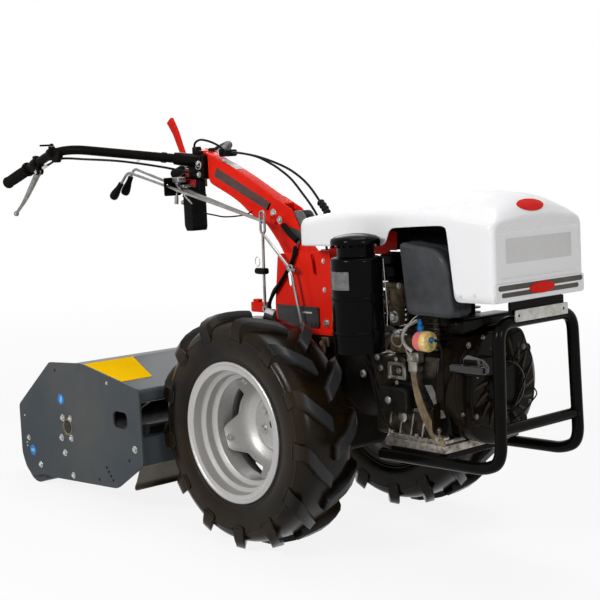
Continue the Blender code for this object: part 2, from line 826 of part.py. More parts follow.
def hood():
    """A lofted shell: each station is a rounded arch from the near lower edge over to the far one."""
    width = HOOD_HALF_WIDTH
    front = HOOD_FRONT
    # station: x, lower edge, shoulder height, ridge height, half width
    stations = [
        (0.052, 0.713, 0.766, 0.775, width - 0.032),
        (0.066, 0.713, 0.770, 0.780, width - 0.008),
        (0.088, 0.713, 0.772, 0.785, width),
        (0.224, 0.714, 0.788, 0.806, width),
        (0.346, 0.723, 0.792, 0.819, width),
        (0.364, 0.752, 0.792, 0.821, width),
        (0.380, 0.757, 0.792, 0.823, width),
        (0.515, 0.762, 0.785, 0.829, width),
        (0.531, 0.756, 0.783, 0.829, width),
        (0.548, 0.620, 0.780, 0.828, width),
        (0.560, 0.600, 0.778, 0.827, width),
        (0.600, 0.600, 0.772, 0.822, width),
        (0.630, 0.600, 0.768, 0.808, width),
        (0.648, 0.600, 0.765, 0.790, width - 0.002),
        (front, 0.600, 0.757, 0.772, width - 0.010),
    ]
    shape = bmesh.new()
    rows = []
    for x, low, shoulder, ridge, half in stations:
        side = [(half, low), (half, (low + shoulder) / 2), (half, shoulder - 0.012)]
        side += [(half - 0.008, shoulder + 0.001), (half - 0.030, shoulder + 0.4 * (ridge - shoulder))]
        side += [(0.5 * half, ridge - 0.12 * (ridge - shoulder))]
        arch = [(-y, z) for y, z in side] + [(0, ridge)] + [(y, z) for y, z in reversed(side)]
        rows.append([shape.verts.new((x, y, z)) for y, z in arch])
    for back, on in zip(rows, rows[1:]):
        for i in range(len(back) - 1):
            shape.faces.new((back[i], back[i + 1], on[i + 1], on[i]))
    nose = rows[-1]
    for i in range(len(nose) // 2):
        near, far = nose[i : i + 2], nose[len(nose) - 2 - i : len(nose) - i]
        corners = [near[0], near[1], far[0], far[1]]
        shape.faces.new(corners if near[1] is not far[0] else [near[0], near[1], far[1]])
    bmesh.ops.recalc_face_normals(shape, faces=shape.faces)
    if shape.faces[0].normal.y > 0:
        bmesh.ops.reverse_faces(shape, faces=shape.faces)
    mesh = bpy.data.meshes.new("hood")
    shape.to_mesh(mesh)
    shape.free()
    mesh.materials.append(WHITE)
    mesh.shade_smooth()
    mesh.set_sharp_from_angle(angle=math.radians(40))
    shell = bpy.data.objects.new("hood", mesh)
    bpy.context.scene.collection.objects.link(shell)
    shell.parent = stance
    shell.location = -stands_at[stance.name]
    wall = shell.modifiers.new("wall", "SOLIDIFY")
    wall.thickness = HOOD_SHEET
    wall.offset = -1
    wall.use_even_offset = True
    return shell


hood()


# Bumper: one bent tube with a cross bar, the engine's tray and the tab that carries the hood

BUMPER_TOP = 0.556
UPRIGHT_X = 0.642
BAR_HEIGHT = 0.329


def bumper():
    half = BUMPER_HALF_WIDTH
    near = [
        (0.295, -half, 0.238),
        (0.600, -half, 0.243),
        (UPRIGHT_X + 0.004, -half, 0.262),
        (UPRIGHT_X, -half + 0.008, BUMPER_TOP),
    ]
    far = [(x, -y, z) for x, y, z in reversed(near)]
    main = tube("bumper_frame", rounded_path(near + far, 0.042), BUMPER_TUBE, BLACK, stance)
    bar_ends = [Vector((UPRIGHT_X, -half, BAR_HEIGHT)), Vector((UPRIGHT_X, half, BAR_HEIGHT))]
    bar = tube("bumper_bar", bar_ends, BUMPER_TUBE * 0.9, BLACK, stance)
    tray = block("engine_tray", (0.320, -half, 0.240), (0.470, half, BASE_BOTTOM - GAP), BLACK, stance)
    tab = block(
        "hood_tab",
        (HOOD_FRONT - HOOD_SHEET - 0.0085, -0.030, BUMPER_TOP),
        (HOOD_FRONT - HOOD_SHEET - 0.0005, 0.030, 0.650),
        BLACK,
        stance,
    )
    return fused(main, bar, tray, tab)


bumper()
block(
    "bumper_plate",
    (UPRIGHT_X + BUMPER_TUBE + GAP, -0.089, 0.556),
    (UPRIGHT_X + BUMPER_TUBE + GAP + 0.004, 0.089, 0.581),
    STEEL,
    stance,
)


# Handlebar: the red column turns on its pin and carries the head, two handles, levers and rods

column_axis = axis_at("column_axis", PIVOT, stance)

HEAD_REAR = -0.512
COLUMN_REAR = -0.4445
HEAD_HALF_WIDTH_Y = 0.036
HEAD_LOW = 0.876
COLUMN_TOP = [(-0.502, 0.960), (-0.444, 0.948), (-0.401, 0.929)]
COLUMN_TOP += [(-0.309, 0.891), (-0.173, 0.823), (-0.110, 0.7935)]


def handlebar_column():
    """A pressed channel, open below, whose top runs on over the head and whose sides are notched in front."""
    half, sheet = COLUMN_HALF_WIDTH, COLUMN_SHEET
    front = [(-0.076, 0.738), (-0.138, 0.752), (-0.140, 0.741), (-0.089, 0.698), (-0.119, 0.659)]
    under = [(-0.208, 0.755), (-0.269, 0.776), (-0.322, 0.816), (COLUMN_REAR, 0.867)]
    rear = [(COLUMN_REAR, 0.9447), (-0.502, 0.957)]
    body = prism("handlebar_column", COLUMN_TOP + front + under + rear, "Y", -half, half, RED, column_axis)
    inside = [(x, z - 1.12 * sheet) for x, z in COLUMN_TOP[2:5]]
    inside = [(COLUMN_REAR + sheet, 0.9415), *inside, (-0.050, 0.7605)]
    inside += [(-0.050, 0.600), (COLUMN_REAR + sheet, 0.600)]
    hollow = prism("column_hollow", inside, "Y", sheet - half, half - sheet, RED, column_axis)
    hole = rod("column_hole", 0.008 + BORE_GAP, PIVOT - 0.1 * Y, PIVOT + 0.1 * Y, RED, column_axis)
    return bored(body, hollow, hole)


def column_cheeks():
    """Two steel plates inside the channel's front end, joined by a spacer."""
    out = COLUMN_HALF_WIDTH - COLUMN_SHEET - GAP
    outline = [(-0.205, 0.752), (-0.205, 0.785), (-0.130, 0.785), (-0.104, 0.7855), (-0.082, 0.784)]
    outline += [(-0.062, 0.752), (-0.088, 0.706), (-0.118, 0.668), (-0.140, 0.690)]
    body = prism("column_cheeks", outline, "Y", -out, out, STEEL, column_axis)
    room = [(-0.3, 0.5), (-0.3, 0.9), (0.1, 0.9), (0.1, 0.5)]
    gap = prism("cheek_gap", room, "Y", CHEEK - out, out - CHEEK, STEEL, column_axis)
    reach = out - CHEEK / 3
    spacer_ends = (-0.096, -reach, 0.772), (-0.096, reach, 0.772)
    spacer = rod("cheek_spacer", 0.006, *spacer_ends, STEEL, column_axis, 12)
    hole = rod("cheek_hole", 0.008 + BORE_GAP, PIVOT - 0.1 * Y, PIVOT + 0.1 * Y, STEEL, column_axis)
    bored(body, gap)
    fused(body, spacer)
    return bored(body, hole)


def handle_line(side):
    """The corners of a handle's tube, from inside the head out to the grip's end."""
    return [
        Vector((-0.472, side * 0.020, 0.9265)),
        Vector((HANDLE_BEND[0], side * HANDLE_SPREAD, HANDLE_BEND[1])),
        Vector((HANDLE_END[0], side * HANDLE_SPREAD, HANDLE_END[1])),
    ]


def along_grip(side, x):
    """The point of the tube's centre line at this x, on the straight part that holds the grip."""
    _, bend, end = handle_line(side)
    return bend + (end - bend) * ((x - bend.x) / (end.x - bend.x))


def handle_head():
    """The clamp behind the column's end, with a socket for each handle."""
    body = block(
        "handle_head",
        (HEAD_REAR, -HEAD_HALF_WIDTH_Y, HEAD_LOW),
        (COLUMN_REAR - GAP, HEAD_HALF_WIDTH_Y, 0.9437),
        BLACK,
        column_axis,
        edge=0.005,
    )
    sockets = []
    for side, word in ((RIGHT, "right"), (LEFT, "left")):
        start, bend, _ = handle_line(side)
        lead = (bend - start).normalized()
        mouth = start + lead * 0.2
        sockets.append(
            rod(f"socket_{word}", HANDLE_TUBE + BORE_GAP, start - lead * GAP, mouth, BLACK, column_axis, 20)
        )
    return bored(body, *sockets)


GRIP_START = -0.905
PERCH_X = -0.862
LEVER_PIN = Vector((-0.850, 0, 0.917))


def handle(name, side):
    """A bent tube with the perch of its lever clamped behind the bend."""
    path = rounded_path(handle_line(side), 0.060, pieces=6)
    pipe = tube(name, path, HANDLE_TUBE, BLACK, column_axis)
    middle = along_grip(side, PERCH_X)
    along = (along_grip(side, HANDLE_END[0]) - middle).normalized()
    ring_ends = middle - along * 0.014, middle + along * 0.014
    ring = rod(f"{name}_perch", HANDLE_TUBE + 0.0045, *ring_ends, BLACK, column_axis)
    lug = prism(
        f"{name}_lug",
        [(-0.875, 0.925), (-0.842, 0.938), (-0.838, 0.916), (-0.846, 0.908), (-0.862, 0.912)],
        "Y",
        side * HANDLE_SPREAD - 0.010,
        side * HANDLE_SPREAD + 0.010,
        BLACK,
        column_axis,
    )
    gap = block(
        f"{name}_lug_gap",
        (-0.871, side * HANDLE_SPREAD - 0.0045, 0.890),
        (-0.830, side * HANDLE_SPREAD + 0.0045, 0.9225),
        BLACK,
        column_axis,
    )
    fused(pipe, ring, lug)
    bored(pipe, gap)
    if side == LEFT:
        bracket = block(
            f"{name}_bracket",
            (-0.888, HANDLE_SPREAD - 0.0307, 0.915),
            (-0.868, HANDLE_SPREAD, 0.929),
            BLACK,
            column_axis,
        )
        fused(pipe, bracket)
    return pipe


def grip(name, side):
    """A rubber sleeve closed at its end, pushed over the tube."""
    start = along_grip(side, GRIP_START)
    end = along_grip(side, HANDLE_END[0])
    length = (end - start).length
    bore, wall = HANDLE_TUBE + BORE_GAP, 0.0045
    profile = [
        (bore, 0),
        (bore + wall + 0.003, 0),
        (bore + wall + 0.003, 0.004),
        (bore + wall, 0.007),
        (bore + wall - 0.001, length * 0.5),
        (bore + wall + 0.001, length - 0.002),
        (bore + wall - 0.003, length + 0.005),
        (0, length + 0.005),
        (0, length + GAP),
        (bore, length + GAP),
    ]
    return turned(name, profile, start, end - start, GRIP_RUBBER, column_axis, steps=18)


def brake_lever(name, side):
    """A bent blade on a pin in the perch, ending in a small ball below the grip."""
    pin = LEVER_PIN + side * Y * HANDLE_SPREAD
    axis = axis_at(f"{name}_axis", pin, column_axis)
    corners = [(0.004, 0.0), (-0.020, -0.018), (-0.056, -0.052), (-0.100, -0.088), (-0.134, -0.113)]
    path = rounded_path([pin + Vector((x, 0, z)) for x, z in corners], 0.05, pieces=2)
    blade = tube(name, path, 0.0042, STEEL, axis, roundness=2)
    ball = bmesh.new()
    bmesh.ops.create_icosphere(ball, subdivisions=2, radius=0.0085)
    bmesh.ops.translate(ball, verts=ball.verts, vec=pin + Vector((-0.138, 0, -0.116)))
    return fused(blade, solid(f"{name}_ball", ball, STEEL, axis))


handlebar_column()
column_cheeks()
handle_head()
block("cable_clip", (-0.402, -0.014, 0.9333), (-0.356, 0.016, 0.953), BLACK, column_axis, edge=0.004)
for side, word in ((RIGHT, "right"), (LEFT, "left")):
    handle(f"handle_tube_{word}", side)
    grip(f"grip_{word}", side)
    brake_lever(f"brake_lever_{word}", side)

SAFETY_PIN = Vector((-0.897, HANDLE_SPREAD - 0.037, 0.925))
safety_axis = axis_at("safety_lever_axis", SAFETY_PIN, column_axis)


def safety_lever():
    """The red lever beside the left grip: flat stem, wider thumb end."""
    line = [(0.010, 0.000), (-0.016, 0.022), (-0.040, 0.058), (-0.066, 0.096), (-0.088, 0.136)]
    widths = [0.009, 0.009, 0.010, 0.012, 0.015]
    spots = [Vector((SAFETY_PIN.x + a, SAFETY_PIN.z + b)) for a, b in line]
    near, far = [], []
    for i, (spot, width) in enumerate(zip(spots, widths)):
        run = (spots[min(i + 1, len(spots) - 1)] - spots[max(i - 1, 0)]).normalized()
        normal = Vector((run.y, -run.x))
        near.append(tuple(spot + normal * width))
        far.append(tuple(spot - normal * width))
    y = SAFETY_PIN.y
    return prism("safety_lever", near + far[::-1], "Y", y - 0.006, y + 0.006, RED, safety_axis, edge=0.002)


safety_lever()

block("control_box", (-0.522, -0.050, 0.737), (-0.484, 0.002, 0.855), BLACK, column_axis, edge=0.003)
fused(
    bpy.data.objects["control_box"],
    block("control_box_strap", (-0.505, -0.030, 0.848), (-0.470, -0.010, HEAD_LOW - GAP), BLACK, column_axis),
)


# Shift rods: each slides along its own line under the column and swings a slotted link below its end

ROD_RADIUS = 0.004
LINK_PIN = 0.003
LINK_OFFSET = 0.0085
SLOT_REACH = 0.020
SLOT_HALF_WIDTH = 0.0056
ROD_LINES = {
    "gear_rod": (-0.090, (-0.133, 0.765), (-0.720, 0.905), (-0.788, 0.846)),
    "take_off_rod": (-0.058, (-0.171, 0.763), (-0.735, 0.915), (-0.778, 0.858)),
}


def shift_rod(name, y, end, bend, grip_low):
    """A steel rod with a pin across its front end and a black knob on its bent rear end."""
    line = (Vector((bend[0], 0, bend[1])) - Vector((end[0], 0, end[1]))).normalized()
    axis = axis_at(f"{name}_axis", (end[0], y, end[1]), column_axis)
    path = rounded_path([(end[0], y, end[1]), (bend[0], y, bend[1]), (grip_low[0], y, grip_low[1])], 0.020)
    bar = tube(name, path, ROD_RADIUS, STEEL, axis, roundness=2)
    top = Vector((bend[0], y, bend[1]))
    low = Vector((grip_low[0], y, grip_low[1]))
    down = (low - top).normalized()
    length = 0.062
    profile = [(0, 0), (0.0075, 0), (0.0085, 0.02), (0.0125, 0.045)]
    profile += [(0.0115, length - 0.004), (0.006, length), (0, length)]
    knob = turned(
        f"{name}_knob",
        profile,
        low - down * 0.042,
        down,
        GRIP_RUBBER,
        axis,
        steps=14,
    )
    outward = 0.0125
    pin = rod(f"{name}_pin", LINK_PIN, (end[0], y, end[1]), (end[0], y - outward, end[1]), STEEL, axis, 10)
    fused(bar, knob, pin)
    return axis, line


def slotted_link(name, y, foot, knee, top):
    """A bent rod with an eye at its foot, and at its top an upright slot for the shift rod's pin."""
    axis = axis_at(f"{name}_axis", (foot[0], y, foot[1]), stance)
    low, high = y - 0.0025, y + 0.0025
    bottom_end, top_end = (top[0], top[1] - SLOT_REACH), (top[0], top[1] + SLOT_REACH)
    head = prism(name, slot_outline(bottom_end, top_end, 0.0105), "Y", low, high, STEEL, axis)
    rise = (Vector(knee) - Vector(foot)).normalized() * 0.0085
    start = Vector(foot) + rise
    eye = rod(f"{name}_eye", 0.0095, (foot[0], low, foot[1]), (foot[0], high, foot[1]), STEEL, axis, 14)
    corners = [(start.x, y, start.y), (knee[0], y, knee[1]), (top[0], y, bottom_end[1] - 0.0075)]
    stem = tube(f"{name}_stem", rounded_path(corners, 0.012, 3), 0.0038, STEEL, axis, roundness=2)
    before, beyond = y - 0.02, y + 0.02
    inner = slot_outline(bottom_end, top_end, SLOT_HALF_WIDTH)
    slot = prism(f"{name}_slot", inner, "Y", before, beyond, STEEL, axis)
    hole_ends = (foot[0], before, foot[1]), (foot[0], beyond, foot[1])
    hole = rod(f"{name}_hole", LINK_PIN + BORE_GAP, *hole_ends, STEEL, axis, 10)
    fused(head, eye, stem)
    bored(head, slot, hole)


LINK_FEET = {"gear_rod": (0.0085, 0.470), "take_off_rod": (-0.176, 0.540)}
LINK_KNEES = {"gear_rod": (-0.032, 0.646), "take_off_rod": (-0.174, 0.640)}
for name, (y, end, bend, grip_low) in ROD_LINES.items():
    shift_rod(name, y, end, bend, grip_low)
    slotted_link(name.replace("rod", "link"), y - LINK_OFFSET, LINK_FEET[name], LINK_KNEES[name], end)


def link_posts():
    """The two posts on the gearbox that carry the feet of the links."""
    posts = []
    half, sunk = 0.007, 0.010
    for name, (x, z) in LINK_FEET.items():
        y = ROD_LINES[name][0] - LINK_OFFSET
        pin_ends = (x, y - 0.006, z), (x, y + 0.012, z)
        posts.append(rod(f"{name}_post_pin", LINK_PIN, *pin_ends, CAST, stance, 10))
        near, foot, far = y + 0.0045, z - half, sunk - GEARBOX_HALF_WIDTH
        if name == "take_off_rod":
            foot, far = 0.430, near + 0.012
            arm_low, arm_high = (x - half, near, foot), (GEARBOX_REAR + sunk, far, foot + 0.020)
            posts.append(block(f"{name}_arm", arm_low, arm_high, CAST, stance))
        posts.append(block(f"{name}_post", (x - half, near, foot), (x + half, far, z + half), CAST, stance))
    return posts


fused(bpy.data.objects["gearbox_housing"], *link_posts())

# The plate under the column that guides both rods
GUIDE_X = -0.540


def guide_plate():
    holes = []
    outline = [(-0.100, 0.835), (-0.048, 0.835), (0.008, 0.8965), (0.008, 0.9085)]
    outline += [(-0.012, 0.9085), (-0.048, 0.885), (-0.100, 0.885)]
    plate = prism("rod_guide", outline, "X", GUIDE_X, GUIDE_X + 0.006, BLACK, column_axis)
    arm_low, arm_high = (GUIDE_X, -0.010, 0.8965), (HEAD_REAR - GAP, 0.008, 0.9085)
    arm = block("rod_guide_arm", arm_low, arm_high, BLACK, column_axis)
    for name, (y, end, bend, _) in ROD_LINES.items():
        ends = (end[0], y, end[1]), (bend[0], y, bend[1])
        holes.append(rod(f"{name}_guide_hole", ROD_RADIUS + BORE_GAP, *ends, BLACK, column_axis))
    fused(plate, arm)
    return bored(plate, *holes)


guide_plate()


# Throttle lever on the right handle

THROTTLE_X = -0.775
throttle_seat = along_grip(RIGHT, THROTTLE_X)
throttle_along = (along_grip(RIGHT, HANDLE_END[0]) - throttle_seat).normalized()
THROTTLE_PIN = throttle_seat + Vector((0, 0.0, HANDLE_TUBE + 0.010))
throttle_axis = axis_at("throttle_lever_axis", THROTTLE_PIN, column_axis)


def throttle():
    """A clamp with a stub on top of the tube, and the thumb lever that turns on the stub."""
    half, sink = throttle_along * 0.010, 0.003
    ends = throttle_seat - half, throttle_seat + half
    clamp = rod("throttle_clamp", HANDLE_TUBE + 0.004, *ends, BLACK, column_axis)
    stub = rod("throttle_stub", 0.007, throttle_seat, THROTTLE_PIN - Z * sink, BLACK, column_axis, 12)
    fused(bpy.data.objects["handle_tube_right"], clamp, stub)
    tip = THROTTLE_PIN + Vector((-0.012, -0.030, 0))
    outline = slot_outline(THROTTLE_PIN.xy, tip.xy, 0.006)
    low = THROTTLE_PIN.z - sink + GAP
    return prism("throttle_lever", outline, "Z", low, low + 0.005, GRIP_RUBBER, throttle_axis)


throttle()


# Mulcher: side plates, deck, belt case, rotor, roller and front flap

HALF = MULCHER_WIDTH / 2
LEFT_WALL = HALF - BELT_CASE_DEPTH - PLATE
PLATE_OUTLINE = [
    (-0.698, 0.405),
    (-0.541, 0.414),
    (-0.283, 0.368),
    (-0.280, 0.176),
    (-0.402, 0.101),
    (-0.712, 0.086),
    (-0.770, 0.087),
    (-0.800, 0.078),
    (-0.830, 0.080),
    (-0.852, 0.098),
    (-0.870, 0.135),
    (-0.870, 0.273),
]
DECK_LINE = [(-0.866, 0.262), (-0.697, 0.392), (-0.541, 0.411), (-0.2865, 0.3655)]
DECK_LINE += [(-0.2865, 0.347), (-0.318, 0.347)]


def square_hole(centre, half, corner):
    """The outline of a square hole with round corners."""
    points = []
    for k, (a, b) in enumerate(((1, 1), (-1, 1), (-1, -1), (1, -1))):
        spot = (centre[0] + a * (half - corner), centre[1] + b * (half - corner))
        points += arc(spot, corner, 90 * k, 90 * k + 90, 3)
    return points


def side_plate(name, low):
    plate = prism(name, PLATE_OUTLINE, "Y", low, low + PLATE, SLATE, stance)
    before, beyond = low - PLATE, low + 2 * PLATE
    hole = square_hole((-0.371, 0.283), 0.023, 0.010)
    window = prism(f"{name}_window", hole, "Y", before, beyond, SLATE, stance)
    x, z = ROTOR_AXIS
    bearing = rod(f"{name}_bearing", ROTOR_STUB + BORE_GAP, (x, before, z), (x, beyond, z), SLATE, stance, 20)
    return bored(plate, window, bearing)


def mulcher_deck():
    """The bent roof, the lower channel across the mouth, and the drive box that joins them."""
    low, high = -HALF + PLATE + GAP, LEFT_WALL - GAP
    roof = prism("mulcher_deck", strip(DECK_LINE, DECK_SHEET), "Y", low, high, SLATE, stance)
    channel = block("mulcher_channel", (-0.325, low, 0.176), (-0.2855, high, 0.208), SLATE, stance)
    drive = block("mulcher_drive_box", (-0.345, -0.055, 0.180), (-0.2855, 0.055, 0.364), SLATE, stance)
    cross = rod("mulcher_cross_tube", 0.024, (-0.3155, 0.0, 0.275), (-0.3155, high, 0.275), SLATE, stance)
    return fused(roof, channel, drive, cross)


def belt_case():
    """The cover over the belt drive, outside the left plate."""
    low = LEFT_WALL + PLATE + GAP
    start, end = ROTOR_AXIS, (-0.345, 0.272)
    radius, wall = 0.066, 0.004
    cover = prism("belt_case", slot_outline(start, end, radius, 8), "Y", low, HALF, SLATE, stance)
    room = slot_outline(start, end, radius - wall, 8)
    hollow = prism("belt_case_hollow", room, "Y", low - 0.01, HALF - wall, SLATE, stance)
    return bored(cover, hollow)


def mulcher_gearbox():
    """The input box on the deck's drive box, and its neck towards the tractor."""
    box_low, box_high = (-0.2852, -0.062, 0.222), (-0.238, 0.062, 0.342)
    body = block("mulcher_gearbox", box_low, box_high, CAST, stance, edge=0.008)
    neck = rod("mulcher_neck", 0.040, (-0.260, 0, PTO_HEIGHT), (-0.212, 0, PTO_HEIGHT), CAST, stance, 20)
    return fused(body, neck)


side_plate("mulcher_plate_right", -HALF)
side_plate("mulcher_plate_left", LEFT_WALL)
boss = rod(
    "roller_boss",
    ROLLER_RADIUS - 0.0054,
    (ROLLER_AXIS[0], LEFT_WALL - 0.030, ROLLER_AXIS[1]),
    (ROLLER_AXIS[0], LEFT_WALL + 0.003, ROLLER_AXIS[1]),
    SLATE,
    stance,
    28,
)
fused(bpy.data.objects["mulcher_plate_left"], boss)
mulcher_deck()
belt_case()
mulcher_gearbox()
turned(
    "take_off_coupling",
    [(0, -0.2117), (0.054, -0.2117), (0.060, -0.205), (0.060, -0.175), (0.052, -0.165), (0, -0.165)],
    (0, 0, PTO_HEIGHT),
    X,
    CAST,
    stance,
)

rotor_axis = axis_at("rotor_axis", (ROTOR_AXIS[0], 0, ROTOR_AXIS[1]), stance)


def rotor():
    """A tube on two stub shafts with flails set round it in a spiral."""
    x, z = ROTOR_AXIS
    low, high = -HALF + PLATE + 0.004, LEFT_WALL - 0.004
    profile = [
        (0, -HALF + 0.0010),
        (ROTOR_STUB, -HALF + 0.0010),
        (ROTOR_STUB, low),
        (ROTOR_TUBE, low),
        (ROTOR_TUBE, high),
        (ROTOR_STUB, high),
        (ROTOR_STUB, LEFT_WALL + PLATE - 0.001),
        (0, LEFT_WALL + PLATE - 0.001),
    ]
    body = turned("flail_rotor", profile, (x, 0, z), Y, SLATE, rotor_axis, steps=16)
    blades = bmesh.new()
    pitch = (high - low - 0.04) / FLAILS
    for i in range(FLAILS):
        made = bmesh.ops.create_cube(blades, size=1.0)["verts"]
        place = Matrix.Translation((x, low + 0.02 + pitch * (i + 0.5), z)) @ Matrix.Rotation(2.4 * i, 4, "Y")
        reach = FLAIL_REACH - ROTOR_TUBE + 0.01
        size = Matrix.Diagonal((0.012, 0.036, reach, 1))
        place = place @ Matrix.Translation((0, 0, FLAIL_REACH - reach / 2)) @ size
        bmesh.ops.transform(blades, matrix=place, verts=made)
    return fused(body, solid("flails", blades, SLATE, rotor_axis))


rotor()
roller_axis = axis_at("roller_axis", (ROLLER_AXIS[0], 0, ROLLER_AXIS[1]), stance)


def roller():
    """A drum with a stub shaft in its right end, running on a boss at its left end."""
    right = -HALF + PLATE + GAP
    left = LEFT_WALL - 0.004
    wall = ROLLER_RADIUS - 0.005
    profile = [
        (0, right),
        (0.016, right),
        (0.016, right + 0.012),
        (ROLLER_RADIUS, right + 0.012),
        (ROLLER_RADIUS, left),
        (wall, left),
        (wall, right + 0.020),
        (0, right + 0.020),
    ]
    return turned("roller", profile, (ROLLER_AXIS[0], 0, ROLLER_AXIS[1]), Y, SLATE, roller_axis)


roller()

FLAP_HINGE = (-0.3055, 0.1715)
flap_axis = axis_at("front_flap_axis", (FLAP_HINGE[0], 0, FLAP_HINGE[1]), stance)
FLAP_FOOT = (-0.338, 0.110)
FLAP_SHEET = 0.003
FLAP_PLAY = 0.006
flap_low, flap_high = FLAP_PLAY + PLATE - HALF, LEFT_WALL - FLAP_PLAY
knuckle_ends = (FLAP_HINGE[0], flap_low, FLAP_HINGE[1]), (FLAP_HINGE[0], flap_high, FLAP_HINGE[1])
flap_outline = strip([FLAP_HINGE, FLAP_FOOT], FLAP_SHEET)
fused(
    prism("front_flap", flap_outline, "Y", flap_low, flap_high, SLATE, flap_axis),
    rod("flap_knuckle", FLAP_SHEET + 0.001, *knuckle_ends, SLATE, flap_axis, 10),
)


# Cables: each is one tube along a smooth route between the handles and the machine

CABLE = 0.003
ROUTES = {
    "throttle_cable": (
        20,
        [
            (-0.3555, -0.008, 0.944),
            (-0.312, -0.014, 0.942),
            (-0.232, -0.020, 0.930),
            (-0.163, -0.020, 0.912),
            (-0.109, -0.020, 0.893),
            (-0.064, -0.020, 0.869),
            (-0.032, -0.020, 0.844),
            (-0.002, -0.020, 0.812),
            (0.020, -0.020, 0.788),
            (0.036, -0.020, 0.750),
            (0.036, -0.020, 0.700),
            (0.036, -0.020, 0.650),
        ],
    ),
    "clutch_cable": (
        18,
        [
            (-0.3555, 0.006, 0.944),
            (-0.306, 0.000, 0.939),
            (-0.251, -0.004, 0.929),
            (-0.199, -0.004, 0.910),
            (-0.165, -0.004, 0.894),
            (-0.122, -0.004, 0.868),
            (-0.084, -0.004, 0.833),
            (-0.052, -0.004, 0.801),
            (-0.028, -0.004, 0.770),
            (-0.010, -0.004, 0.730),
            (0.000, -0.004, 0.680),
            (0.000, -0.004, 0.6450),
        ],
    ),
    "brake_cable": (
        18,
        [
            (-0.800, -0.2995, 0.935),
            (-0.745, -0.292, 0.950),
            (-0.680, -0.252, 0.945),
            (-0.600, -0.192, 0.935),
            (-0.520, -0.118, 0.915),
            (-0.482, -0.070, 0.900),
            (-0.474, -0.052, 0.897),
            (-0.472, -0.0372, 0.896),
        ],
    ),
}
for name, (count, route) in ROUTES.items():
    tube(name, smooth_path(route, count), CABLE, GRIP_RUBBER, column_axis, roundness=2)


def stand_on_ground():
    """Tips the machine nose-up, then puts the middle of its box over the origin and its foot at zero."""
    stance.rotation_euler = (0, -nose_up_angle(), 0)
    bpy.context.view_layer.update()
    graph = bpy.context.evaluated_depsgraph_get()
    low, high = Vector((1e9,) * 3), Vector((-1e9,) * 3)
    for piece in bpy.data.objects:
        if piece.type != "MESH" or piece.hide_render:
            continue
        ready = piece.evaluated_get(graph)
        mesh = ready.to_mesh()
        spots = np.empty(len(mesh.vertices) * 3, np.float32)
        mesh.vertices.foreach_get("co", spots)
        matrix = np.array(ready.matrix_world)
        world = spots.reshape(-1, 3) @ matrix[:3, :3].T + matrix[:3, 3]
        low = Vector(np.minimum(low, world.min(axis=0)))
        high = Vector(np.maximum(high, world.max(axis=0)))
        ready.to_mesh_clear()
    stance.location = stance.location - Vector(((low.x + high.x) / 2, (low.y + high.y) / 2, low.z))
    bpy.context.view_layer.update()


stance.location = AXLE
stand_on_ground()
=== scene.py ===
"""A two-wheel tractor with its rear flail mulcher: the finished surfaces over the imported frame.

Each section makes one piece or group, in the order in which the machine is put together.
"""

import json

import bmesh
import bpy
import numpy as np
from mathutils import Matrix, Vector
from mathutils.geometry import tessellate_polygon


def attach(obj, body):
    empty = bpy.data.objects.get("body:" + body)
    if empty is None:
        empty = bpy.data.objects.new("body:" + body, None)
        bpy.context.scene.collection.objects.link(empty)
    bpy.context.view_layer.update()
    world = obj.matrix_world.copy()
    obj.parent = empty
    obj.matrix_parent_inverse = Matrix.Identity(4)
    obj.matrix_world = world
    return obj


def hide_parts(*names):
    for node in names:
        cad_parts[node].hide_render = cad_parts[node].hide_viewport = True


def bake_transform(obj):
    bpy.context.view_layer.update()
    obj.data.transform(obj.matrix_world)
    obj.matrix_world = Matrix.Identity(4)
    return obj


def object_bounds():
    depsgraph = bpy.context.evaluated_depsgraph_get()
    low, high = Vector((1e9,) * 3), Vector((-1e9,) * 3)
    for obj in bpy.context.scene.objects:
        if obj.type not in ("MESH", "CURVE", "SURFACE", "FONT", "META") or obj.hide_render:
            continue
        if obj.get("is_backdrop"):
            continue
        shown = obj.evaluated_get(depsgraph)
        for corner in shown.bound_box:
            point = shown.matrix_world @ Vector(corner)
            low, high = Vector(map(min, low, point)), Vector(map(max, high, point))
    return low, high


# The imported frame: the sizes, the moving bodies and the joints that the finished pieces ride on. The
# machine stands nose up on its tyres, so a piece is worked out level and in millimetres, its axle over the
# origin, and then stood on the floor in metres: x along the nose, y to the left, z up.
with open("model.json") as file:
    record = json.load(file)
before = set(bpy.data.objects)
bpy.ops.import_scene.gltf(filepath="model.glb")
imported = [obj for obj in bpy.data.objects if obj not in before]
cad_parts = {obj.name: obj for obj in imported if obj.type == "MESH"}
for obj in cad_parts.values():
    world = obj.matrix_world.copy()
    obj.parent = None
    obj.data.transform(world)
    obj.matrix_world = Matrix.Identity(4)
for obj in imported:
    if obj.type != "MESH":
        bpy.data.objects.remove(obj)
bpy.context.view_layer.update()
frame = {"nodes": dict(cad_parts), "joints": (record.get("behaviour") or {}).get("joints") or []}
AXLE_HEIGHT = 284
joints = {joint["name"]: joint for joint in frame["joints"]}
wheel_spot = joints["wheel_right_spin"]["pos_m"]
nose = joints["crank_spin"]["axis"]
AXLE = np.array([wheel_spot[0], 0.0, wheel_spot[2]])
AXES = np.array([nose, [0.0, 1.0, 0.0], [-nose[2], 0.0, nose[0]]])


def stand(points):
    """Level points stood on the floor: the axle's place plus each coordinate, in metres, along its axis."""
    return AXLE + 0.001 * (np.asarray(points, float) - (0.0, 0.0, AXLE_HEIGHT)) @ AXES


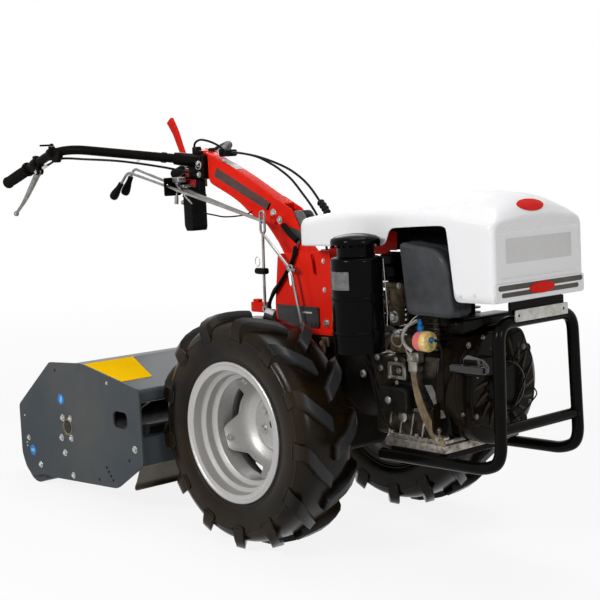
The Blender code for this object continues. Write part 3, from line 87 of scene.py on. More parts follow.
# Tyres: black agricultural tyres of moulded rubber, with 26 chevron lugs that run from the tread's middle
# down over the shoulder. The beads sit in the rims, and the lugs slope the same way on both wheels.
TRACK = 524.6
SIDES = {"right": -1, "left": 1}
LUGS = 26
LUG_SWEEP = np.radians(17)
LUG_HALF_ANGLE = 15 / AXLE_HEIGHT
CARCASS_HALF = 81.5
# Radius and half width of the carcass from the bead, past
# two moulded ribs and the mould line, to the crown.
FLANK = np.array([
    [153, 66], [164, 70], [169, 72.2], [172, 74.2], [174.5, 74], [177, 75.2], [179, 76.4], [181.2, 76.2],
    [184, 77.2], [194, 79.6], [206, 81.1], [220, 81.5], [234, 80.8], [236.2, 81.8], [238.5, 80.2],
    [245, 77.8], [253, 72.2], [260, 61], [264.5, 44], [266, 24], [266.5, 0],
])


def stacked(*arrays):
    """Arrays of matching or repeating shapes stacked along a new last axis, as coordinates into points."""
    return np.stack(np.broadcast_arrays(*arrays), -1)


def grid_faces(rows, columns, wrap_rows=False, wrap_columns=False):
    """The quads of a grid: corner (i, j) with the three one row or column on, round again if wrapped."""
    i = np.arange(rows if wrap_rows else rows - 1)[:, None]
    j = np.arange(columns if wrap_columns else columns - 1)[None, :]
    i_on = (i + 1) % rows
    j_on = (j + 1) % columns
    corners = (i * columns + j, i_on * columns + j, i_on * columns + j_on, i * columns + j_on)
    return stacked(*corners).reshape(-1, 4)


def skin(rings, closed=False):
    """Rings of points joined each to the next: flat lids on both ends, or round to the first if closed."""
    rings = np.asarray(rings, float)
    rows, columns = rings.shape[-3:-1]
    bodies = rings.reshape(-1, rows * columns, 3)
    first = np.arange(len(bodies))[:, None, None] * rows * columns
    faces = [(grid_faces(rows, columns, closed, True) + first).reshape(-1, 4)]
    if not closed:
        lid = np.arange(columns)
        faces.append((lid[::-1] + first).reshape(-1, columns))
        faces.append((lid + (rows - 1) * columns + first).reshape(-1, columns))
    return bodies.reshape(-1, 3), faces


def lathe(profile, centre, axis="y", steps=48, start=0):
    """A profile of (radius, height) turned round: radius times cosine and sine across, height along."""
    profile = np.asarray(profile, float)
    closed = np.allclose(profile[0], profile[-1])
    if closed:
        profile = profile[:-1]
    turn = start + np.linspace(0, 2 * np.pi, steps, endpoint=False)
    along = "xyz".index(axis)
    points = np.zeros((len(profile), steps, 3))
    points[:, :, (along + 1) % 3] = profile[:, :1] * np.cos(turn)
    points[:, :, (along + 2) % 3] = profile[:, :1] * np.sin(turn)
    points[:, :, along] = profile[:, 1:]
    return skin(points + np.asarray(centre, float), closed)


def flowing(points, steps=6):
    """A smooth line through the points: between each two, the Catmull-Rom cubic of the four nearest."""
    points = np.asarray(points, float)
    points = np.vstack([2 * points[0] - points[1], points, 2 * points[-1] - points[-2]])
    a, b, c, d = (points[k : len(points) - 3 + k][:, None] for k in range(4))
    t = np.linspace(0, 1, steps, endpoint=False)[None, :, None]
    curve = 2 * b + (c - a) * t + (2 * a - 5 * b + 4 * c - d) * t**2 + (3 * b - a - 3 * c + d) * t**3
    return np.vstack([curve.reshape(-1, points.shape[1]) / 2, points[-2:-1]])


def piece(name, shapes, finish, stands_for=(), body="chassis", crease=38):
    """Shapes joined into one mesh on the floor: doubles merged, faces outwards, smooth below the crease."""
    starts = np.cumsum([0] + [len(points) for points, faces in shapes])
    faces = [
        face
        for (points, blocks), start in zip(shapes, starts)
        for block in blocks
        for face in (np.asarray(block) + start).tolist()
    ]
    mesh = bpy.data.meshes.new(name)
    mesh.from_pydata(stand(np.vstack([points for points, blocks in shapes])).tolist(), [], faces)
    work = bmesh.new()
    work.from_mesh(mesh)
    bmesh.ops.remove_doubles(work, verts=work.verts, dist=1e-6)
    bmesh.ops.dissolve_degenerate(work, edges=work.edges, dist=1e-6)
    bmesh.ops.recalc_face_normals(work, faces=work.faces)
    work.to_mesh(mesh)
    work.free()
    mesh.shade_smooth()
    mesh.set_sharp_from_angle(angle=np.radians(crease))
    mesh.materials.append(finish)
    made = bpy.data.objects.new(name, mesh)
    bpy.context.scene.collection.objects.link(made)
    flatten = made.modifiers.new("flat faces", "WEIGHTED_NORMAL")
    flatten.keep_sharp = True
    if body:
        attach(made, body)
    if stands_for:
        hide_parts(*stands_for)
    return made


def add(tree, kind, values=(), **settings):
    """A new shader node with these settings, and a number or colour on each socket that values names."""
    node = tree.nodes.new("ShaderNode" + kind)
    for word, setting in settings.items():
        setattr(node, word, setting)
    for word, value in dict(values).items():
        node.inputs[word].default_value = value
    return node


def join(tree, *runs):
    """The links of a tree, each from a node's output to a node's input."""
    for source, output, target, entry in runs:
        tree.links.new(source.outputs[output], target.inputs[entry])


def node_group(name, inputs, outputs):
    """An empty shader group: its tree, its input node and its output node."""
    tree = bpy.data.node_groups.new(name, "ShaderNodeTree")
    for word, kind in inputs.items():
        tree.interface.new_socket(word, in_out="INPUT", socket_type="NodeSocket" + kind)
    for word, kind in outputs.items():
        tree.interface.new_socket(word, in_out="OUTPUT", socket_type="NodeSocket" + kind)
    return tree, tree.nodes.new("NodeGroupInput"), tree.nodes.new("NodeGroupOutput")


# Mottle: two tints of one colour, mixed by a cloudy noise, and the same noise as a mask for the roughness.
tints = {
    "Vector": "Vector", "Scale": "Float", "Light": "Color", "Dark": "Color", "Smooth": "Float",
    "Rough": "Float",
}
mottle, given, made = node_group("Mottle", tints, {"Color": "Color", "Roughness": "Float", "Mask": "Float"})
cloud = add(mottle, "TexNoise", {"Detail": 5.0, "Roughness": 0.62})
spread = add(mottle, "MapRange", {"From Min": 0.34, "From Max": 0.66})
tint = add(mottle, "Mix", data_type="RGBA")
sheen = add(mottle, "Mix")
join(
    mottle,
    (given, "Vector", cloud, "Vector"),
    (given, "Scale", cloud, "Scale"),
    (cloud, "Fac", spread, "Value"),
    (spread, "Result", tint, "Factor"),
    (given, "Light", tint, "A"),
    (given, "Dark", tint, "B"),
    (spread, "Result", sheen, "Factor"),
    (given, "Smooth", sheen, "A"),
    (given, "Rough", sheen, "B"),
    (tint, "Result", made, "Color"),
    (sheen, "Result", made, "Roughness"),
    (spread, "Result", made, "Mask"),
)

# Grain: a fine even roughness of the skin, as moulding, casting and spraying leave it, as a bumped normal.
bumps = {"Vector": "Vector", "Scale": "Float", "Depth": "Float", "Height": "Float"}
grain, given, made = node_group("Grain", bumps, {"Normal": "Vector"})
speck = add(grain, "TexNoise", {"Detail": 3.0})
heap = add(grain, "Math", operation="ADD")
relief = add(grain, "Bump", {"Distance": 0.001})
join(
    grain,
    (given, "Vector", speck, "Vector"),
    (given, "Scale", speck, "Scale"),
    (speck, "Fac", heap, 0),
    (given, "Height", heap, 1),
    (heap, 0, relief, "Height"),
    (given, "Depth", relief, "Strength"),
    (relief, "Normal", made, "Normal"),
)


def coated(
    name, light, dark, smooth, rough, clouds=9.0, grains=900.0, depth=0.12, metal=0.0, coat=0.0, gloss=None
):
    """A surface of two mottled tints between two roughnesses, with a fine grain, on one Principled shader."""
    finish = bpy.data.materials.new(name)
    finish.use_nodes = True
    tree = finish.node_tree
    shader = tree.nodes["Principled BSDF"]
    if gloss is None:
        gloss = 0.5 if metal > 0.5 else min(0.16, 0.03 + 0.8 * max(light))
    values = {"Metallic": metal, "Coat Weight": coat, "Coat Roughness": 0.06, "Specular IOR Level": gloss}
    for word, value in values.items():
        shader.inputs[word].default_value = value
    place = add(tree, "TexCoord")
    values = {"Scale": clouds, "Light": (*light, 1), "Dark": (*dark, 1), "Smooth": smooth, "Rough": rough}
    tints = add(tree, "Group", values, name="Mottle", node_tree=mottle)
    bumps = add(tree, "Group", {"Scale": grains, "Depth": depth}, name="Grain", node_tree=grain)
    join(
        tree,
        (place, "Object", tints, "Vector"),
        (place, "Object", bumps, "Vector"),
        (tints, "Color", shader, "Base Color"),
        (tints, "Roughness", shader, "Roughness"),
        (bumps, "Normal", shader, "Normal"),
    )
    return finish


def sums(tree, operation, first, second=0.0):
    """A Math node of two values, either of which may be a number or another node's output."""
    node = add(tree, "Math", operation=operation)
    for socket, value in zip(node.inputs, (first, second)):
        if isinstance(value, (int, float)):
            socket.default_value = value
        else:
            tree.links.new(value, socket)
    return node.outputs[0]


def object_axes(tree):
    """The outputs X, Y and Z of the point that is shaded, in the piece's own coordinates."""
    place = add(tree, "TexCoord")
    parts = add(tree, "SeparateXYZ")
    join(tree, (place, "Object", parts, 0))
    return parts.outputs


def overlay(finish, value, start, end, at_start, at_end, tint):
    """A tint over the finish's own colour, by a share of at_start at the value start and at_end at end."""
    tree = finish.node_tree
    share = add(tree, "MapRange", {"From Min": start, "From Max": end, "To Min": at_start, "To Max": at_end})
    mix = add(tree, "Mix", data_type="RGBA")
    mix.inputs["B"].default_value = (*tint, 1)
    tree.links.new(value, share.inputs["Value"])
    join(
        tree,
        (share, "Result", mix, "Factor"),
        (tree.nodes["Mottle"], "Color", mix, "A"),
        (mix, "Result", tree.nodes["Principled BSDF"], "Base Color"),
    )


rubber = coated(
    "tyre rubber", (0.0016, 0.0016, 0.0018), (0.015, 0.0085, 0.0024), 0.14, 0.3, clouds=7, grains=700,
    depth=0.15, gloss=0.12,
)
# Fine moulded rays run out from the rim: a wave of the angle round the axle, only near the beads.
tree = rubber.node_tree
spot = object_axes(tree)
along = sums(tree, "SUBTRACT", spot["X"], float(AXLE[0]))
above = sums(tree, "SUBTRACT", spot["Z"], float(AXLE[2]))
angle = sums(tree, "ARCTAN2", above, along)
squares = sums(tree, "ADD", sums(tree, "POWER", along, 2.0), sums(tree, "POWER", above, 2.0))
radius = sums(tree, "SQRT", squares)
inside = sums(tree, "LESS_THAN", radius, 0.206)
outside = sums(tree, "GREATER_THAN", radius, 0.185)
near_rim = sums(tree, "MULTIPLY", inside, outside)
rays = sums(tree, "MULTIPLY", sums(tree, "SINE", sums(tree, "MULTIPLY", angle, 220.0)), near_rim)
tree.links.new(sums(tree, "MULTIPLY", rays, 0.45), tree.nodes["Grain"].inputs["Height"])
# The lugs' tops carry a painted sky reflection: the tint rises
# to a pale bluish grey from the tread's floor to the tops, by the same radius.
overlay(rubber, radius, 0.269, 0.28, 0.0, 0.95, (0.03, 0.031, 0.033))


def wheel_points(angle, radius, across, side):
    """Points round a wheel: radius times cosine forwards and sine upwards, across from the rim's middle."""
    place = stacked(radius * np.cos(angle), across, radius * np.sin(angle))
    return place + (0, side * TRACK / 2, AXLE_HEIGHT)


def tyre_shapes(side):
    """The carcass, turned from its flank there and back, and the lugs, each a trapezoid along its sweep."""
    outer = flowing(FLANK, 3)
    inner = [(250, 30), (236, 66), (205, 74), (172, 66), (153, 48)]
    inner = flowing([(r, -s) for r, s in inner[::-1]] + inner, 2)
    loop = np.vstack([outer, outer[-2::-1] * (1, -1), inner, outer[:1]])
    carcass = lathe(loop, (0, side * TRACK / 2, AXLE_HEIGHT), "y", 160)
    lug = np.arange(LUGS)[:, None, None]
    across = np.array([3, 6.5, 28, 50, 65, 75.5, 81.5, 84.2, 84.8, 83.2])[None, :, None]
    top = np.array([278.5, 283.2, 284, 283.2, 280, 273.5, 264, 256, 242, 220])[None, :, None]
    floor = np.interp(across, FLANK[:11:-1, 1], FLANK[:11:-1, 0]) - 7
    lean = LUG_SWEEP * np.interp(across / CARCASS_HALF, [0, 0.62, 0.97], [0, 0.56, 1.0])
    corners = np.array([-1.42, -1.08, -0.98, 0.98, 1.08, 1.42])
    turn = corners * LUG_HALF_ANGLE * (1 + 0.16 * across / CARCASS_HALF)
    share = np.array([0.0, 0.84, 1.0, 1.0, 0.84, 0.0])
    middle = 2 * np.pi * lug / LUGS + np.radians(14.5 - 90) + lean
    flank = np.where(lug % 2 == 1, 1, -1)
    lugs = skin(wheel_points(middle + turn, floor + (top - floor) * share, flank * across, side))
    return [carcass, lugs]


for word, side in SIDES.items():
    piece(
        f"tyre_tread_{word}", tyre_shapes(side), rubber, [f"tyre_{word}"],
        body=f"wheel_{word}", crease=28,
    )

# Rims: two-ledge rims pressed from steel sheet, silver paint with a warm cast, curled over at both flanges.
# The tyre's beads sit on them, and the disc's four feet are bolted inside the well.
SILVER = {"light": (0.47, 0.465, 0.45), "dark": (0.39, 0.385, 0.375), "smooth": 0.36, "rough": 0.44}
SILVER |= {"clouds": 300, "grains": 1100, "depth": 0.2, "metal": 0.52}
silver = coated("wheel silver", **SILVER)
# Towards the gearbox the rims carry painted shade: the tint is mixed
# to nearly black as the distance from the middle falls.
rim_silver_painted_shade = coated("rim silver", **SILVER)
across = object_axes(rim_silver_painted_shade.node_tree)["Y"]
off_middle = sums(rim_silver_painted_shade.node_tree, "ABSOLUTE", across)
overlay(rim_silver_painted_shade, off_middle, 0.196, 0.222, 0.94, 0.0, (0.01, 0.009, 0.008))
RIM_LOOP = [
    (169, 71.5), (169, 75.5), (166.5, 77.5), (163, 77), (160, 75), (148.8, 73.5), (148.4, 70),
    (147.8, 50.5), (146.2, 47.8), (140, 45), (136.6, 44), (136, 41.5), (136, 26.5), (134.5, 24),
    (126.2, 20.5), (124, 19), (123.5, 16.5), (123.5, -25), (124.8, -29), (146.2, -37.5), (147.4, -40),
    (148.4, -73.5), (160, -75), (163, -77), (166.5, -77.5), (169, -75.5), (169, -71.5), (154, -69),
    (151.5, -64), (150.5, -37), (127, -25), (127, 16), (139.5, 22), (139.5, 42), (151, 48), (152, 66),
    (169, 71.5),
]
for word, side in SIDES.items():
    loop = np.array(RIM_LOOP) * (1, side)
    shape = lathe(loop, (0, side * TRACK / 2, AXLE_HEIGHT), "y", 180)
    piece(
        f"rim_shell_{word}", [shape], rim_silver_painted_shade, [f"rim_{word}"], body=f"wheel_{word}",
        crease=24,
    )

# Wheel discs: a dished steel plate with a pressed ring and four splayed arms, in the rim's silver. Zinc
# bolts hold its feet to the rim and its middle to the hub flange.
zinc = coated(
    "zinc-plated steel", (0.6, 0.6, 0.58), (0.42, 0.42, 0.41), 0.24, 0.4, clouds=60, grains=1500, depth=0.1,
    metal=0.9,
)
DISC_SHEET = 5
DISC_BORE = 13.5
DISC_WAIST = 103.5
DISC_REACH = 122.6
ARM_TURN = 19
FOOT_BOLTS_RADIUS = 116.5
HUB_BOLTS_RADIUS = 40
DISC_PROFILE = flowing(
    [
        (13.5, -57), (40, -57), (60, -56.7), (65, -56), (68, -59.2), (71, -62), (76, -61.2), (86, -55.5),
        (93, -50), (100, -40), (107, -25.5), (113, -12.5), (118, -4), (122.8, 1),
    ],
    6,
)


def drum(radius, low, high, centre, axis, steps):
    """A solid cylinder between two places along its axis."""
    return lathe([(0, low), (radius, low), (radius, high), (0, high)], centre, axis, steps)


def bolt(centre, axis, size, way=1, start=0.0):
    """A washer and a six-sided head with a cut rim, each turned round the axis, way 1 or -1 along it."""
    washer = np.array([(0, 0), (1.45, 0), (1.45, 0.22), (0, 0.22)]) * size * (1, way)
    head = np.array([(0, 0.2), (1.0, 0.2), (1.0, 0.72), (0.86, 0.88), (0, 0.88)]) * size * (1, way)
    return [lathe(washer, centre, axis, 20), lathe(head, centre, axis, 6, start)]


def bolts(rows, axis, way):
    """A bolt for each row: its x, y and z, its size and, where it matters, how far its head is turned."""
    return [shape for x, y, z, size, *start in rows for shape in bolt((x, y, z), axis, size, way, *start)]


def disc_shape(side):
    """A polar grid: the outline's radius falls by a smooth step from each arm to the waist between two."""
    turn = np.linspace(0, 2 * np.pi, 200, endpoint=False)[:, None]
    off_arm = np.abs((np.degrees(turn) - ARM_TURN + 45) % 90 - 45)
    share = np.clip((31 - off_arm) / 23, 0, 1)
    outline = DISC_WAIST + (DISC_REACH - DISC_WAIST) * (3 * share**2 - 2 * share**3)
    way = np.linspace(0, 1, 46)[None, :]
    radius = DISC_BORE + (outline - DISC_BORE) * way
    height = np.interp(radius, DISC_PROFILE[:, 0], DISC_PROFILE[:, 1])
    lip = 2.2 * np.clip((way - 0.955) / 0.045, 0, 1) * (share < 0.98)
    front = wheel_points(turn, radius, side * (height + lip), side)
    back = wheel_points(turn, radius, side * (height - DISC_SHEET), side)
    return skin(np.concatenate([front, back[:, ::-1]], 1), True)


for word, side in SIDES.items():
    disc = f"wheel_disc_{word}"
    piece(
        f"disc_plate_{word}", [disc_shape(side)], silver, [disc], body=f"wheel_{word}",
        crease=42,
    )
    turn = np.radians(ARM_TURN + 90 * np.arange(4))
    feet = wheel_points(turn, FOOT_BOLTS_RADIUS, -side * 5, side)
    hub_turn = np.radians(-156 + 72 * np.arange(5))
    hub = wheel_points(hub_turn, HUB_BOLTS_RADIUS, -side * 57.2, side)
    shapes = bolts([(*spot, 6.2) for spot in feet] + [(*spot, 8.8, 0.3) for spot in hub], "y", side)
    piece(f"wheel_bolts_{word}", shapes, zinc, body=f"wheel_{word}")

# Half shafts: forged flanges behind the discs, black, each on the shaft that runs in to its axle trumpet. A
# short stub with a centre hole shows through the disc's bore.
hub_black = coated(
    "hub black", (0.007, 0.007, 0.007), (0.016, 0.014, 0.012), 0.4, 0.6, clouds=30, grains=600, depth=0.3,
    metal=0.2,
)
for word, side in SIDES.items():
    profile = [(0, 165.5), (20, 165.5), (20, 170), (32, 186), (52.5, 188), (54, 189.5)]
    profile += [(54, 198.7), (52.5, 200), (12.5, 200), (12.5, 208.5), (10.5, 210.5)]
    profile += [(4, 210.5), (3, 206), (0, 206)]
    shape = lathe(np.array(profile) * (1, side), (0, 0, AXLE_HEIGHT), "y", 48)
    piece(f"hub_{word}", [shape], hub_black, [f"half_shaft_{word}"], body=f"wheel_{word}")

# Gearbox: a dark cast-iron case under the turret, split by a bolted flange, with ribbed axle trumpets to
# both hubs and a boss for the take-off shaft at the back. The clutch bell joins it to the engine.
cast = coated(
    "dark cast iron", (0.005, 0.0048, 0.0046), (0.015, 0.012, 0.009), 0.45, 0.7, clouds=22, grains=420,
    depth=0.75, metal=0.25,
)


def wound(line, way):
    """The outline run anticlockwise for way 1 or clockwise for -1, by the sign of its area."""
    line = np.asarray(line, float)
    after = np.roll(line, -1, 0)
    area = np.sum(line[:, 0] * after[:, 1] - line[:, 1] * after[:, 0])
    return line if area * way > 0 else line[::-1]


def unit(vectors):
    """The vectors at length 1."""
    return vectors / np.linalg.norm(vectors, axis=-1, keepdims=True)


def inset(line, depth):
    """The outline moved to its left: each corner along its mitre, both normals over 1 plus their cosine."""
    run = unit(np.roll(line, -1, 0) - line)
    normal = np.stack([-run[:, 1], run[:, 0]], 1)
    before = np.roll(normal, 1, 0)
    cosine = np.sum(normal * before, 1, keepdims=True)
    return line + depth * (normal + before) / np.maximum(1 + cosine, 0.3)


def softened(line, radius, steps=4, closed=True):
    """Corners cut into curves: a quadratic Bezier from radius before each corner to radius after it."""
    line = np.asarray(line, float)
    back = np.roll(line, 1, 0) - line
    on = np.roll(line, -1, 0) - line
    radius = np.broadcast_to(radius, len(line)).astype(float)
    back *= np.minimum(radius / np.linalg.norm(back, axis=1), 0.49)[:, None]
    on *= np.minimum(radius / np.linalg.norm(on, axis=1), 0.49)[:, None]
    t = np.linspace(0, 1, steps + 1)[None, :, None]
    curve = line[:, None] + (1 - t) ** 2 * back[:, None] + t**2 * on[:, None]
    if closed:
        return curve.reshape(-1, line.shape[1])
    return np.vstack([line[:1], curve[1:-1].reshape(-1, line.shape[1]), line[-1:]])


def fill(loops):
    """Triangles between an outline and its holes, by the corners' numbers along all the loops."""
    return np.array(
        tessellate_polygon([[Vector((u, v, 0)) for u, v in (0.001 * loop).tolist()] for loop in loops])
    )


def plate(line, across, low, high, edge=1, holes=()):
    """A plate: by edge (1 - cos) from each face, its outline is drawn in by edge (1 - sin); faces filled."""
    low, high = sorted((low, high))
    turn = np.linspace(0, np.pi / 2, 3)
    rise = edge * (1 - np.cos(turn))
    depth = np.concatenate([low + rise, (high - rise)[::-1]])
    sink = np.concatenate([edge * (1 - np.sin(turn)), edge * (1 - np.sin(turn[::-1]))])
    points, faces, first, last, flat, start = [], [], [], [], [], 0
    for loop, way in [(line, 1)] + [(hole, -1) for hole in holes]:
        loop = wound(loop, way)
        count = len(loop)
        level = np.stack([inset(loop, share) for share in sink])
        order = [level[..., 0], level[..., 1]]
        order.insert("xyz".index(across), depth[:, None])
        points.append(stacked(*order).reshape(-1, 3))
        faces.append(grid_faces(len(depth), count, False, True) + start)
        first.append(start + np.arange(count))
        last.append(start + (len(depth) - 1) * count + np.arange(count))
        flat.append(level[0])
        start += len(depth) * count
    lid = fill(flat)
    return np.vstack(points), faces + [np.concatenate(first)[lid], np.concatenate(last)[lid]]


def box(low, high, edge=2, corner=0, across="z", steps=3):
    """A block: a rectangle with softened corners as a plate, its faces' edges rounded."""
    low, high = np.sort([low, high], 0)
    w = "xyz".index(across)
    u, v = [k for k in range(3) if k != w]
    line = [(low[u], low[v]), (high[u], low[v]), (high[u], high[v]), (low[u], high[v])]
    return plate(softened(line, max(corner, edge), steps), across, low[w], high[w], edge)


def tube(path, radius, sides=12):
    """A round bar: at each point of the path a circle across it, turned from the path's flattest plane."""
    path = np.asarray(path, float)
    along = unit(np.gradient(path, axis=0))
    plane = np.linalg.svd(0.001 * (path - path.mean(0)))[2][2]
    side = unit(np.cross(along, plane))
    up = np.cross(along, side)
    turn = np.linspace(0, 2 * np.pi, sides, endpoint=False)[None, :, None]
    radius = np.broadcast_to(radius, len(path))[:, None, None]
    return skin(path[:, None] + radius * (np.cos(turn) * side[:, None] + np.sin(turn) * up[:, None]))


def circle(u, v, radius, steps=24, start=0):
    """A round outline: radius times cosine and sine about its middle, from a start in degrees."""
    turn = np.radians(start) + np.linspace(0, 2 * np.pi, steps, endpoint=False)
    return np.stack([u + radius * np.cos(turn), v + radius * np.sin(turn)], 1)


def stadium(start, end, radius, steps=9):
    """A slot's outline: a half circle round each end, square to the line between them."""
    start, end = np.asarray(start, float), np.asarray(end, float)
    way = np.arctan2(*(end - start)[::-1])
    turn = np.linspace(-np.pi / 2, np.pi / 2, steps)
    front = end + radius * np.stack([np.cos(way + turn), np.sin(way + turn)], 1)
    rear = start - radius * np.stack([np.cos(way + turn), np.sin(way + turn)], 1)
    return np.vstack([front, rear])


TAKE_OFF_HEIGHT = 280
TAKE_OFF_LINE = (0, 0, TAKE_OFF_HEIGHT)
CRANK_HEIGHT = 402
CRANK_LINE = (0, 0, CRANK_HEIGHT)
shapes = [
    box((-150, -78, 200), (110, 78, 489), 10, 34, "y"),
    box((-34, -81.5, 196), (-18, 81.5, 487.5), 3, 36, "x"),
    box((92, -81.5, 214), (109.5, 81.5, 488.5), 3, 30, "x"),
    box((-142, -82, 470), (104, 82, 488.8), 3, 12),
    lathe([(0, -164.7), (43, -164.7), (46, -162), (46, -150), (56, -140), (0, -140)], TAKE_OFF_LINE, "x"),
    drum(11, 191, 203, (-60, 0, 0), "z", 6),
]
trumpet = [(0, 60), (70, 70), (70, 84), (61, 88), (52, 98), (48, 128), (50, 148)]
trumpet += [(60.5, 151.5), (62, 153), (62, 163.5), (60.5, 165), (0, 165)]
for side in SIDES.values():
    shapes.append(lathe(np.array(trumpet) * (1, side), (0, 0, AXLE_HEIGHT), "y", 56))
    shapes.append(box((-3.5, side * 80, 224), (3.5, side * 150, 344), 1))
    shapes.append(box((-60, side * 80, 280.5), (60, side * 150, 287.5), 1))
    for x in (-128, -82, 10, 56):
        for z in (226, 452):
            shapes += bolt((x, side * 77.8, z), "y", 6.2, side, 0.001 * x)
    for z in (250, 320, 390):
        shapes += bolt((-26, side * 81.2, z), "y", 5, side, 0.001 * z)
for y, z in circle(0, TAKE_OFF_HEIGHT, 52, 6, 30):
    shapes += bolt((-149.5, y, z), "x", 4.5, -1)
# The two link posts and the pins that the links turn on, clamped to the gearbox's side and back.
shapes += [
    box((1.5, -94, 463), (15.5, -68, 477), 1.5),
    lathe([(0, -101.2), (2.6, -101.2), (3, -100.6), (3, -90), (0, -90)], (8.5, 0, 470), "y", 16),
    box((-183, -62, 430), (-169, -50, 547), 1.5),
    box((-180, -62, 430), (-140, -50, 450), 1.5),
    lathe([(0, -69), (2.6, -69), (3, -68.6), (3, -58), (0, -58)], (-176, 0, 540), "y", 16),
]
piece("gearbox_case", shapes, cast, ["gearbox_housing"], crease=32)
bell = [(0, 110.3), (110, 110.3), (112, 112), (112, 122.5), (103.5, 124.5), (103, 150), (112, 153.5)]
bell += [
    (112, 163.5), (109, 165.2), (95, 184), (92, 188), (92, 226), (103.5, 232.5), (103.5, 245.7), (0, 245.7),
]
shapes = [lathe(bell, CRANK_LINE, "x", 72)]
for y, z in circle(0, CRANK_HEIGHT, 98, 8, 15):
    shapes += bolt((233.2, y, z), "x", 5.2, -1)
piece("clutch_bell", shapes, cast, ["clutch_housing"], crease=30)

# Turret: a bracket folded from red steel sheet, bolted on the gearbox, with slots for the column's play, a
# doubled front edge and a foot. A dark plate covers its side, and the column's mount turns inside it.
red = coated(
    "red paint", (0.8, 0.02, 0.008), (0.68, 0.013, 0.006), 0.24, 0.34, clouds=6, grains=260, depth=0.05,
    coat=0.05, gloss=0.025,
)
side_line = softened([(-125, 489.3), (86, 489.3), (86, 697), (-108, 684), (-125, 560)], 8)
slots = [stadium((28, 640), (22, 680), 6), stadium((-66, 610), (-71, 650), 6)]
shapes = [
    box((79.5, -74.5, 490), (86, 74.5, 696.5), 1.5, 4, "x"),
    box((-124.5, -74.5, 489.3), (85.5, 74.5, 501), 1),
]
for side in SIDES.values():
    shapes.append(plate(side_line, "y", side * 70.2, side * 75, 1.2, slots))
    shapes.append(box((47.5, side * 74.5, 506), (86.6, side * 77.8, 695.5), 1.4, 5, "y"))
    shapes.append(box((-12, side * 70, 489.3), (94.5, side * 85, 503.6), 2.2, 4))
# The red rail under the hood, from the turret towards the
# head, and its end plate behind the air cleaner's neck.
shapes += [
    box((86, -76, 690), (286, -72.5, 712), 1, 3, "y"),
    box((258, -86, 701), (320, -83, 744), 1, 4, "y"),
]
piece("turret_shell", shapes, red, ["turret_bracket"], crease=34)
shapes = []
for x, z, size in ((66, 519, 7.2), (64, 600, 4.2), (64, 670, 4.2)):
    for side in SIDES.values():
        shapes += bolt((x, side * 78, z), "y", size, side)
piece("turret_bolts", shapes, zinc)
plate_grey = coated(
    "dark plate", (0.04, 0.042, 0.045), (0.062, 0.06, 0.058), 0.32, 0.5, clouds=30, grains=500, depth=0.3,
    metal=0.3,
)
line = softened([(-112, 504), (40, 504), (40, 556), (-112, 556)], 8)
shapes = [plate(line, "y", -81.3, -75.3, 1.2)]
shapes += bolts([(x, -81.3, 515, 4.2) for x in (-100, 28)], "y", -1)
shapes.append(box((-112, -83.5, 551), (40, -81, 557.5), 0.8))
piece("side_plate_grey", shapes, plate_grey, ["cover_plate"])
label = coated("plain label", (0.62, 0.62, 0.6), (0.5, 0.5, 0.48), 0.35, 0.45, clouds=40, depth=0.05)
piece("plate_mark", [box((-16, -81.8, 540), (18, -81.1, 543.6), 0.2)], label)
# Two hand levers at the gearbox's front shoulder: a dark red one and a raw brown one, bent from flat bar.
lever_red = coated(
    "dark red lever", (0.28, 0.012, 0.008), (0.16, 0.01, 0.007), 0.3, 0.45, clouds=30, grains=600,
    depth=0.1, coat=0.3,
)
path = softened([(-9, -90, 487), (12, -100, 484), (40, -103, 459), (47, -98, 440)], 10, 4, False)
piece("lock_lever_red", [tube(path, 4.5, 10)], lever_red)
raw = coated(
    "raw bronzed steel", (0.2, 0.145, 0.085), (0.1, 0.07, 0.04), 0.35, 0.55, clouds=40, grains=700,
    depth=0.3, metal=0.7,
)
path = softened([(58, -85, 470), (75, -106, 476), (86, -108, 462), (70, -104, 430)], 10, 4, False)
piece("lock_lever_raw", [tube(path, 6.5, 10), box((55, -90, 462), (80, -80, 486), 3)], raw)

# Engine: an upright single-cylinder diesel of cast aluminium, standing on
# a ribbed base. The block is coloured dark between its bright ribs as painted
# shade; barrel fins and head sit on it, and a tan strap runs down its side to the base.
alloy = coated(
    "cast aluminium", (0.5, 0.475, 0.43), (0.085, 0.068, 0.046), 0.26, 0.46, clouds=55, grains=380,
    depth=0.6, metal=0.85,
)
# The dark casting colour on block, barrel fins and head is painted shade of their recesses.
painted_shade_casting = coated(
    "casting with painted shade", (0.062, 0.05, 0.034), (0.007, 0.006, 0.0045), 0.26, 0.48, clouds=40, grains=320,
    depth=0.7, metal=0.6,
)
shapes = [
    box((254, -110, 278), (465, 110, 470), 10, 16, "y"),
    lathe([(0, 246), (103, 246), (105, 248), (105, 268), (98, 272), (0, 272)], CRANK_LINE, "x", 60),
    box((300, -126.5, 408), (372, -100, 466), 5, 10, "y"),
    box((262, -118, 420), (300, -100, 468), 4, 8, "y"),
    drum(100, 262, 268, (360, 0, 0), "z", 24),
]
for z in np.arange(300, 400, 22):
    shapes.append(box((388, -112.8, z), (462, -109, z + 5), 1))
piece("engine_block", shapes, painted_shade_casting, ["crankcase"], crease=34)
shapes = [
    box((300, -130, 258), (483, 130, 277.5), 3, 6),
    box((306, -126, 276), (478, 126, 288), 3, 6),
    box((304.5, -118, 342), (460, -109.5, 350), 1.5),
]
for side in SIDES.values():
    for x in (312, 346, 380, 414, 448):
        wedge = np.array([(128.5, 284), (108, 284), (108, 347), (113, 347)]) * (side, 1)
        shapes.append(plate(wedge, "x", x - 2.2, x + 2.2, 0.6))
    for x in (320, 396, 466):
        shapes += bolt((x, side * 122, 288), "z", 6.2, 1, 0.001 * x)
    shapes.append(lathe(
        np.array([(0, 108), (13, 108), (13, 122.5), (10, 124.5), (0, 124.5)]) * (1, side), (352, 0, 328),
        "y", 24,
    ))
